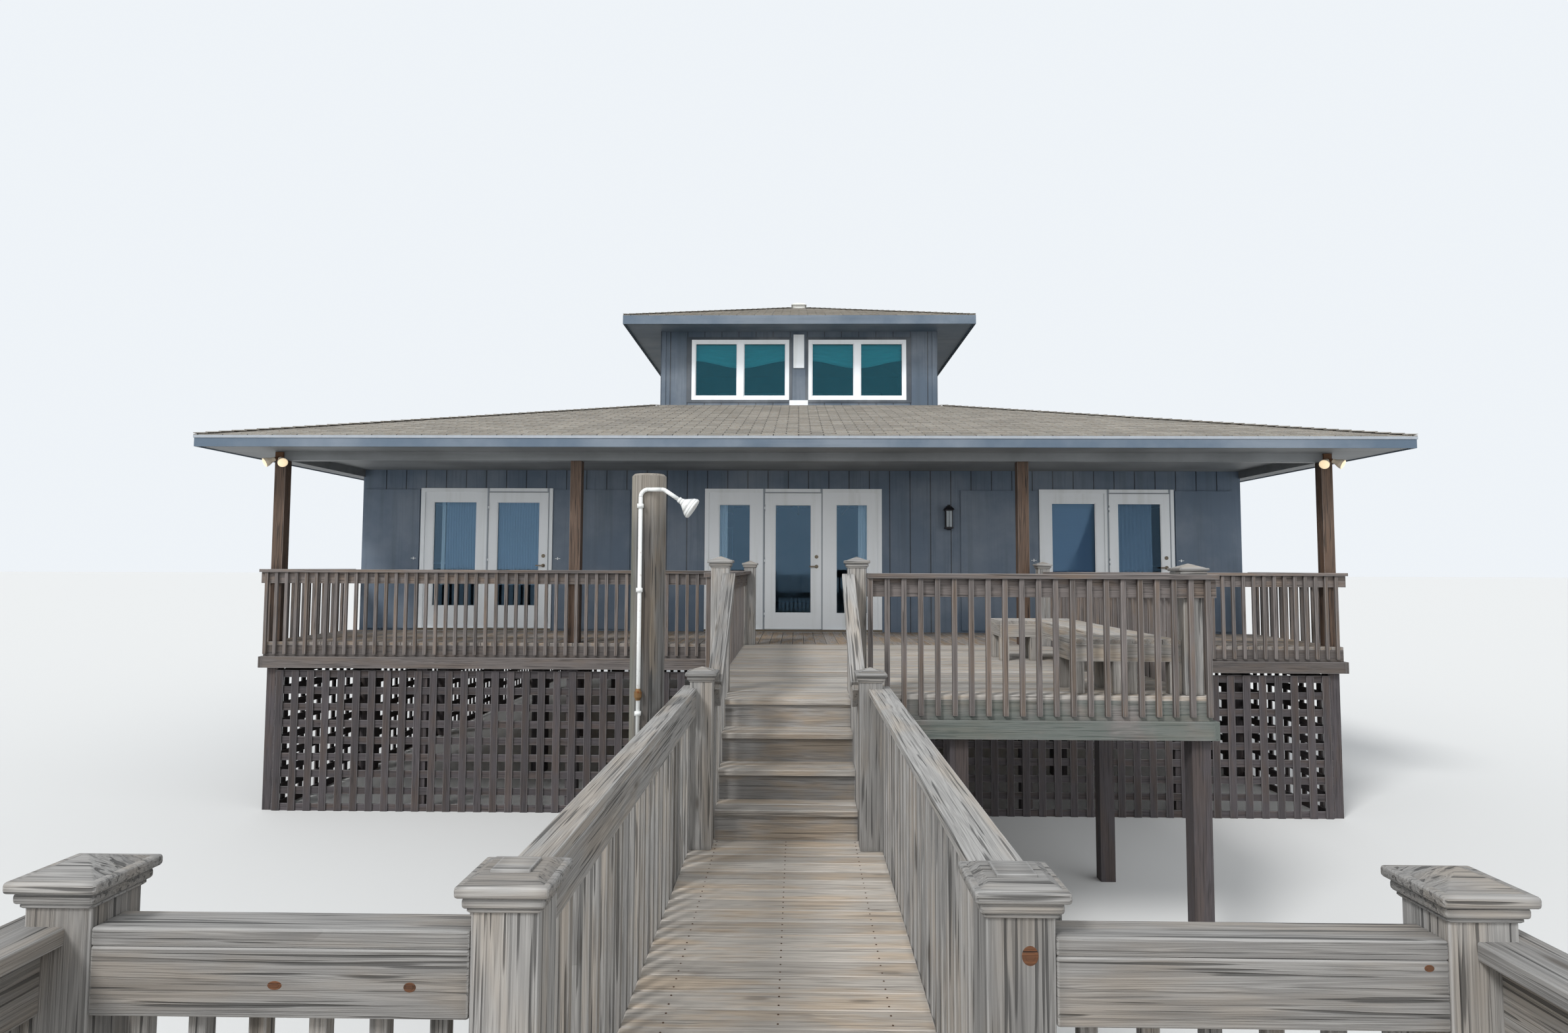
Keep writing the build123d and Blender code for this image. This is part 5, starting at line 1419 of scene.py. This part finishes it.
class BuildDoors(StepOperator, Operator):
    """Paints the door units and makes their curtains, blinds and beads"""

    bl_idname = "beach_house.doors"
    bl_label = "Doors"

    def execute(self, context):
        coat = {"dirt": 0.25, "sawn": 0.05, "roughness": 0.4}
        white = paint("Door paint", colours().white, **coat)
        glass = pane_glass("Door glass", (0.62, 0.74, 0.84), (0.42, 0.66, 0.90))
        bronze = metal("Handle metal", tint(104, 96, 84), 0.8, 0.4, 0.3)
        dress("side_panel_glass", glass)
        thresholds = bmesh.new()
        hooks = bmesh.new()
        bead, bead_depth = 0.014, 0.011
        for unit in UNITS:
            # The frame paint carries a painted shadow line round the leaf
            dress(f"{unit}_door_frame", paint(f"Frame paint {unit}", colours().white,
                                              wash=joint_shadow(f"{unit}_door_leaf"), **coat))
            dress(f"{unit}_door_leaf", white)
            dress(f"{unit}_door_glass", glass)
            dress(f"{unit}_door_handle", bronze)
            start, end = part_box(f"{unit}_door_frame")
            blocks(thresholds, [((start.x, start.y - 0.002, start.z + 0.004),
                                 (end.x, start.y, start.z + 0.038))])
            for kind, panes in self.panes(unit):
                mesh = bmesh.new()
                for x_low, x_high, z_low, z_high, front in panes:
                    blocks(mesh, framed((x_low, front - bead_depth, z_low),
                                        (x_high, front, z_high), bead, bead, bead))
                show(f"{unit}_{kind}_beads", eased(mesh, 0.003), [white],
                     body=f"{unit}_door" if kind == "leaf" else "house")
            if unit != "middle":
                for x in (start.x - 0.09, end.x + 0.09):
                    self.hook(hooks, x)
        show("door_thresholds", thresholds, [bronze])
        show("shutter_hooks", eased(hooks, 0.0015, 1), [white])
        self.curtains()
        return {"FINISHED"}

    def hook(self, mesh, x):
        """Level arm and upright plate of a hook that holds a shutter"""
        level = DECK + 1.08
        for half, tall, front, back in ((0.04, 0.004, 0.035, 0.027),
                                        (0.008, 0.020, 0.036, 0.026)):
            blocks(mesh, [((x - half, WALL - front, level - tall),
                           (x + half, WALL - back, level + tall))])

    def curtains(self):
        """Curtains and blinds behind the panes, some of them on the leaves"""
        pale = cloth("Pale curtain", tint(232, 236, 236), 900.0)
        blue = cloth("Blue grey curtain", tint(150, 166, 182), 900.0)
        blind = cloth("Blue grey blind", tint(70, 94, 126), 500.0)
        side_gap, top_gap, bottom_gap = 0.015, 0.015, 0.005
        # Name, door unit, pane, shares of its width between which the cloth hangs, share of its
        # height, folds, how much the last corner is rounded, and finish
        for name, unit, kind, x_low, x_high, share, folds, rounded, material in (
            ("middle_left_curtain", "middle", "left", 0.0, 0.28, 1.0, 4, 0.0, pale),
            ("middle_right_curtain", "middle", "right", 0.70, 1.0, 1.0, 4, 0.0, pale),
            ("left_edge_curtain", "left", "left", 0.16, 0.24, 0.80, 2, 0.0, pale),
            ("left_side_curtain", "left", "left", 0.26, 1.0, 0.78, 13, 0.0, blue),
            ("left_leaf_curtain", "left", "leaf", 0.0, 1.0, 0.80, 17, 0.0, blue),
            ("right_side_blind", "right", "left", 0.0, 1.0, 0.96, 0, 0.0, blind),
            ("right_leaf_curtain", "right", "leaf", 0.0, 0.80, 0.84, 9, 0.22, blue),
        ):
            panes = dict(self.panes(unit))
            on_leaf = kind == "leaf"
            pane = panes["leaf"][0] if on_leaf else panes["fixed"][int(kind == "right")]
            low_x, high_x, low_z, high_z, front = pane
            width = high_x - low_x + 2 * side_gap
            corner = (low_x - side_gap + width * x_low,
                      front + 0.048 if on_leaf else WALL + 0.095, high_z + top_gap)
            full = (high_z - low_z + top_gap + bottom_gap) * share

            def drop(across, full=full, rounded=rounded):
                return full - rounded * max(0.0, (across - 0.55) / 0.45) ** 2

            def wave(across, down, folds=folds):
                phase = folds * math.tau * across + 0.8 * math.sin(5 * down)
                return 0.007 * math.sin(phase)

            hung_cloth(name, Matrix.Translation(corner), width * (x_high - x_low), drop, wave,
                       material,
                       columns=max(8, folds * 8), rows=10,
                       body=f"{unit}_door" if on_leaf else "house")

    def panes(self, unit):
        """Glass of the fixed panels and of the leaf of a unit: x, z and its front plane."""
        start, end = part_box(f"{unit}_door_glass")
        frame_low, frame_high = low(f"{unit}_door_frame").x, high(f"{unit}_door_frame").x
        bite, stile, post = 0.005, 0.21, 0.365
        if unit == "middle":
            spans = [(frame_low + stile, start.x - post), (end.x + post, frame_high - stile)]
        else:
            mirror = frame_low + frame_high
            spans = [(mirror - end.x - bite, mirror - start.x + bite)]
        fixed = [(*span, start.z - bite, end.z + bite, start.y + 0.02) for span in spans]
        return [("fixed", fixed), ("leaf", [(start.x, end.x, start.z, end.z, start.y)])]


class BuildFittings(StepOperator, Operator):
    """Makes the shutters, lanterns, floodlights, plaque and outdoor shower"""

    bl_idname = "beach_house.fittings"
    bl_label = "Fittings"

    def execute(self, context):
        hues = colours()
        dress("storm_shutters", paint("Shutter paint", hues.siding, sawn=0.35))
        dress("cupola_trim", paint("Plaque paint", hues.white, dirt=0.5, sawn=0.1))
        dress("shower_post", timber("Shower pile", darker(hues.weathered, 0.56), "z",
                                    warmth=0.45, cracks=0.9, wash=pile_wash))
        self.lanterns()
        self.floodlights()
        self.shower()
        return {"FINISHED"}

    def lanterns(self):
        """Hooded lanterns with four glazed sides"""
        iron = metal("Lantern metal", tint(44, 44, 48), 0.4, 0.5)
        seeded = metal("Lantern glass", tint(150, 160, 166), 0.0, 0.25, 0.0)
        start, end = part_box("wall_lanterns")
        cage, panes = bmesh.new(), bmesh.new()
        foot = start.z
        near, far = start.y + 0.012, end.y - 0.035
        middle, half = (near + far) / 2, (far - near) / 2
        tray, glass_foot, glass_head, hood, lip = 0.02, 0.045, 0.285, 0.30, 0.006
        for side in (-1, 1):
            x = side * (end.x - 0.08)
            # Half width, near and far plane, foot and head of plate, arm, tray and hood rim
            for reach, front, back, z_low, z_high in (
                (0.04, end.y - 0.02, end.y, 0.08, end.z - 0.08 - foot),
                (0.012, far - 0.004, end.y - 0.01, 0.24, 0.262),
                (half + lip, near - lip, far + lip, tray, glass_foot),
                (half + lip, near - lip, far + lip, glass_head, hood),
            ):
                blocks(cage, [((x - reach, front, foot + z_low),
                               (x + reach, back, foot + z_high))])
            for x_side in (-1, 0, 1):
                for y_side in (-1, 0, 1):
                    if x_side or y_side:
                        at_x, at_y = x + x_side * (half - 0.005), middle + y_side * (half - 0.005)
                        bar = 0.005 if x_side and y_side else 0.0025
                        blocks(cage, [((at_x - bar, at_y - bar, foot + glass_foot),
                                       (at_x + bar, at_y + bar, foot + glass_head))])
            for z_low, z_high, wide, narrow in ((hood, 0.35, 0.108, 0.055),
                                                (0.35, 0.375, 0.034, 0.026),
                                                (0.002, tray, 0.03, 0.07)):
                spot = Matrix.Translation((x, middle, foot + (z_low + z_high) / 2))
                bmesh.ops.create_cone(
                    cage, cap_ends=True, segments=4, radius1=wide, radius2=narrow,
                    depth=z_high - z_low, matrix=spot @ Matrix.Rotation(QUARTER / 2, 4, "Z"))
            inset, seat = half - 0.009, 0.002
            blocks(panes, [((x - inset, middle - inset, foot + glass_foot + seat),
                            (x + inset, middle + inset, foot + glass_head - seat))])
        show("lantern_cages", cage, [iron], ["wall_lanterns"])
        show("lantern_panes", panes, [seeded])

    def floodlights(self):
        """Pairs of lamps on rusty plates under the eave"""
        rusty = metal("Lamp holder", tint(104, 74, 52), 0.3, 0.7, 0.9)
        shell = metal("Lamp housing", tint(222, 208, 188), 0.0, 0.4, 0.2)
        warm = Finish("Lamp lens")
        blush = warm.noise(warm.place(), 30.0, 2.0)
        lens = warm.close(warm.mix(blush * 0.5, tint(255, 236, 200), tint(240, 205, 160)), 0.3,
                          constants={"Emission Color": (1.0, 0.78, 0.5, 1),
                                     "Emission Strength": 0.55})
        holders, shells, lenses = bmesh.new(), bmesh.new(), bmesh.new()
        outer = high("porch_posts").x - POST / 2
        front, level = PORCH_RIM + BOARD, DECK + 2.312
        plate_half, plate_height, plate_thick = 0.05, 0.1, 0.025
        for side in (-1, 1):
            x = side * outer
            blocks(holders, [((x - plate_half, front - plate_thick, level),
                              (x + plate_half, front, level + plate_height))])
            for turn in (-1, 1):
                way = Vector((turn * 0.62, -0.62, -0.45)).normalized()
                spot = tube(holders, (x, front - plate_thick + 0.001, level + 0.033), way,
                            ((0.012, 0.012, 0.035), (0.019, 0.024, 0.024)))
                spot = tube(shells, spot, way, ((0.027, 0.031, 0.035), (0.031, 0.055, 0.055),
                                                (0.055, 0.0605, 0.035)), 28)
                tube(lenses, spot - way * 0.001, way, ((0.0585, 0.052, 0.007),
                                                       (0.052, 0.02, 0.007)), 28)
        show("floodlight_holders", holders, [rusty], ["floodlights"])
        show("floodlight_shells", shells, [shell])
        show("floodlight_lenses", lenses, [lens])

    def shower(self):
        """White pipe with two bends, a bell head and a brass valve"""
        white = metal("Pipe paint", tint(226, 228, 226), 0.0, 0.35, 0.35)
        brass = metal("Valve brass", tint(120, 92, 60), 0.6, 0.5, 0.9)
        post, post_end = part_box("shower_post")
        x, y = (post.x + post_end.x) / 2 - 0.028, post.y - 0.0113
        top, bend, radius, sides = WALK + 2.149, 0.04, 0.011, 16
        foot, arm, fall = low("shower_pipe").z, 0.112, math.radians(33.7)
        pipe, valve = bmesh.new(), bmesh.new()
        rise = ((radius, radius, top - bend - foot),)
        tube(pipe, (x, y, foot), (0, 0, 1), rise, sides)
        tube(pipe, (x + bend, y, top), (1, 0, 0), ((radius, radius, arm - bend),), sides)
        outlet = Vector((x + arm, y, top - bend))
        for middle, begin, facing, angle in (
            (Vector((x + bend, y, top - bend)), (x, y, top - bend), 0.0, QUARTER),
            (outlet, (x + arm, y, top), QUARTER, fall),
        ):
            ring = bmesh.ops.create_circle(
                pipe, cap_ends=False, segments=sides, radius=radius,
                matrix=Matrix.Translation(begin) @ Matrix.Rotation(facing, 4, "Y"))["verts"]
            edges = list({edge for vert in ring for edge in vert.link_edges})
            bmesh.ops.spin(pipe, geom=ring + edges, cent=middle, axis=(0, 1, 0), angle=angle,
                           steps=10, use_duplicate=False)
        way = Vector((0.09, 0, -0.06)).normalized()
        begin = outlet + Matrix.Rotation(fall, 3, "Y") @ Vector((0, 0, bend))
        head = Vector((x + 0.214, y, top - 0.06))
        neck = ((radius, radius, (head - begin).dot(way) - 0.011),)
        spot = tube(pipe, begin, way, neck, sides)
        tube(pipe, spot, way, ((0.016, 0.016, 0.014), (0.015, 0.022, 0.016), (0.022, 0.05, 0.036),
                               (0.05, 0.0585, 0.018), (0.0585, 0.055, 0.011)), 28)
        closed(pipe)
        tube(valve, (x, y - 0.009, WALK + 1.03), (0, 0, 1),
             ((0.013, 0.017, 0.015), (0.0205, 0.0205, 0.03), (0.017, 0.013, 0.015)), sides)
        clip_half, clip_height = 0.016, 0.022
        blocks(pipe, [((x - clip_half, y - clip_half, WALK + over),
                       (x + clip_half, y + radius, WALK + over + clip_height))
                      for over in (0.95, 1.6, 2.05)])
        for face in pipe.faces:
            face.smooth = len(face.verts) == 4 and face.calc_area() < 0.02
        show("shower_pipework", pipe, [white], ["shower_pipe"])
        show("shower_valve", valve, [brass])


class BuildStage(StepOperator, Operator):
    """Sets the floor, the lights, the background and the camera"""

    bl_idname = "beach_house.stage"
    bl_label = "Stage"

    def execute(self, context):
        scene = context.scene
        self.floor(scene)
        self.world(scene)
        self.lights(scene)
        self.camera(scene)
        scene.view_settings.view_transform = "Standard"
        return {"FINISHED"}

    def floor(self, scene):
        """Pale floor far beyond the house"""
        mesh = bmesh.new()
        bmesh.ops.create_grid(mesh, x_segments=1, y_segments=1, size=400)
        data = bpy.data.meshes.new("floor")
        mesh.to_mesh(data)
        mesh.free()
        floor = bpy.data.objects.new("floor", data)
        scene.collection.objects.link(floor)
        data.materials.append(Finish("Pale floor").close((0.66, 0.66, 0.65), 0.9))

    def world(self, scene):
        """Plain backdrop, brighter where it is seen, mirrored or looked at through glass"""
        sky = Finish("Studio", bpy.data.worlds)
        camera, glossy, through = (
            sky.node("ShaderNodeLightPath", {}, {}, f"Is {kind} Ray")
            for kind in ("Camera", "Glossy", "Transmission"))
        light, shown = (
            sky.node("ShaderNodeBackground", {}, {"Color": (*colour, 1), "Strength": strength})
            for colour, strength in (((0.92, 0.96, 1.0), 0.75), ((0.86, 0.90, 0.94), 1.0)))
        mixed = sky.node("ShaderNodeMixShader", {},
                         {0: camera.most(glossy.most(through)), 1: light, 2: shown})
        sky.node("ShaderNodeOutputWorld", {}, {"Surface": mixed})
        scene.world = sky.owner

    def lights(self, scene):
        """Soft key, fill and front light"""
        for name, strength, spread, down, aside in (("key", 2.2, 14, 48, -38),
                                                    ("fill", 0.4, 60, 62, 50),
                                                    ("front", 0.75, 50, 80, -6)):
            lamp = bpy.data.lights.new(name, "SUN")
            lamp.energy = strength
            lamp.angle = math.radians(spread)
            lamp_object = bpy.data.objects.new(name, lamp)
            lamp_object.rotation_euler = (math.radians(down), 0, math.radians(aside))
            scene.collection.objects.link(lamp_object)

    def camera(self, scene):
        """Camera of the photograph, on the platform at the end of the walkway"""
        picture_width, focal_length = 2380, 1334.4
        yaw, pitch, roll = (math.radians(turn) for turn in (0.925, 3.357, 0.2132))
        lens = bpy.data.cameras.new("camera")
        lens.sensor_width = 36
        lens.lens = focal_length / picture_width * lens.sensor_width
        camera = bpy.data.objects.new("camera", lens)
        camera.location = (-0.0029, -12.0747, 3.0505)
        aim = (Matrix.Rotation(yaw, 4, "Z") @ Matrix.Rotation(QUARTER + pitch, 4, "X")
               @ Matrix.Rotation(roll, 4, "Z"))
        camera.rotation_euler = aim.to_euler()
        scene.collection.objects.link(camera)
        scene.camera = camera


STEPS = (BuildWalls, BuildRoof, BuildEaves, BuildPosts, BuildDecks, BuildRails, BuildStair,
         BuildLattice, BuildWindows, BuildDoors, BuildFittings, BuildStage)


class BeachHousePanel(Panel):
    """Lists the steps that build the beach house"""

    bl_idname = "VIEW3D_PT_beach_house"
    bl_label = "Beach House"
    bl_space_type = "VIEW_3D"
    bl_region_type = "UI"
    bl_category = "Beach House"

    def draw(self, context):
        layout = self.layout
        for settings in (context.scene.beach_house_sizes, context.scene.beach_house_colours):
            for name in settings.bl_rna.properties.keys():
                if name not in ("rna_type", "name"):
                    layout.prop(settings, name)
        for step in STEPS:
            layout.operator(step.bl_idname)


CLASSES = (HouseSizes, HouseColours, *STEPS, BeachHousePanel)


def register():
    for item in CLASSES:
        bpy.utils.register_class(item)
    bpy.types.Scene.beach_house_sizes = PointerProperty(type=HouseSizes)
    bpy.types.Scene.beach_house_colours = PointerProperty(type=HouseColours)


def unregister():
    del bpy.types.Scene.beach_house_colours
    del bpy.types.Scene.beach_house_sizes
    for item in reversed(CLASSES):
        bpy.utils.unregister_class(item)


def main():
    register()
    for step in STEPS:
        group, name = step.bl_idname.split(".")
        getattr(getattr(bpy.ops, group), name)()


if __name__ == "__main__":
    main()
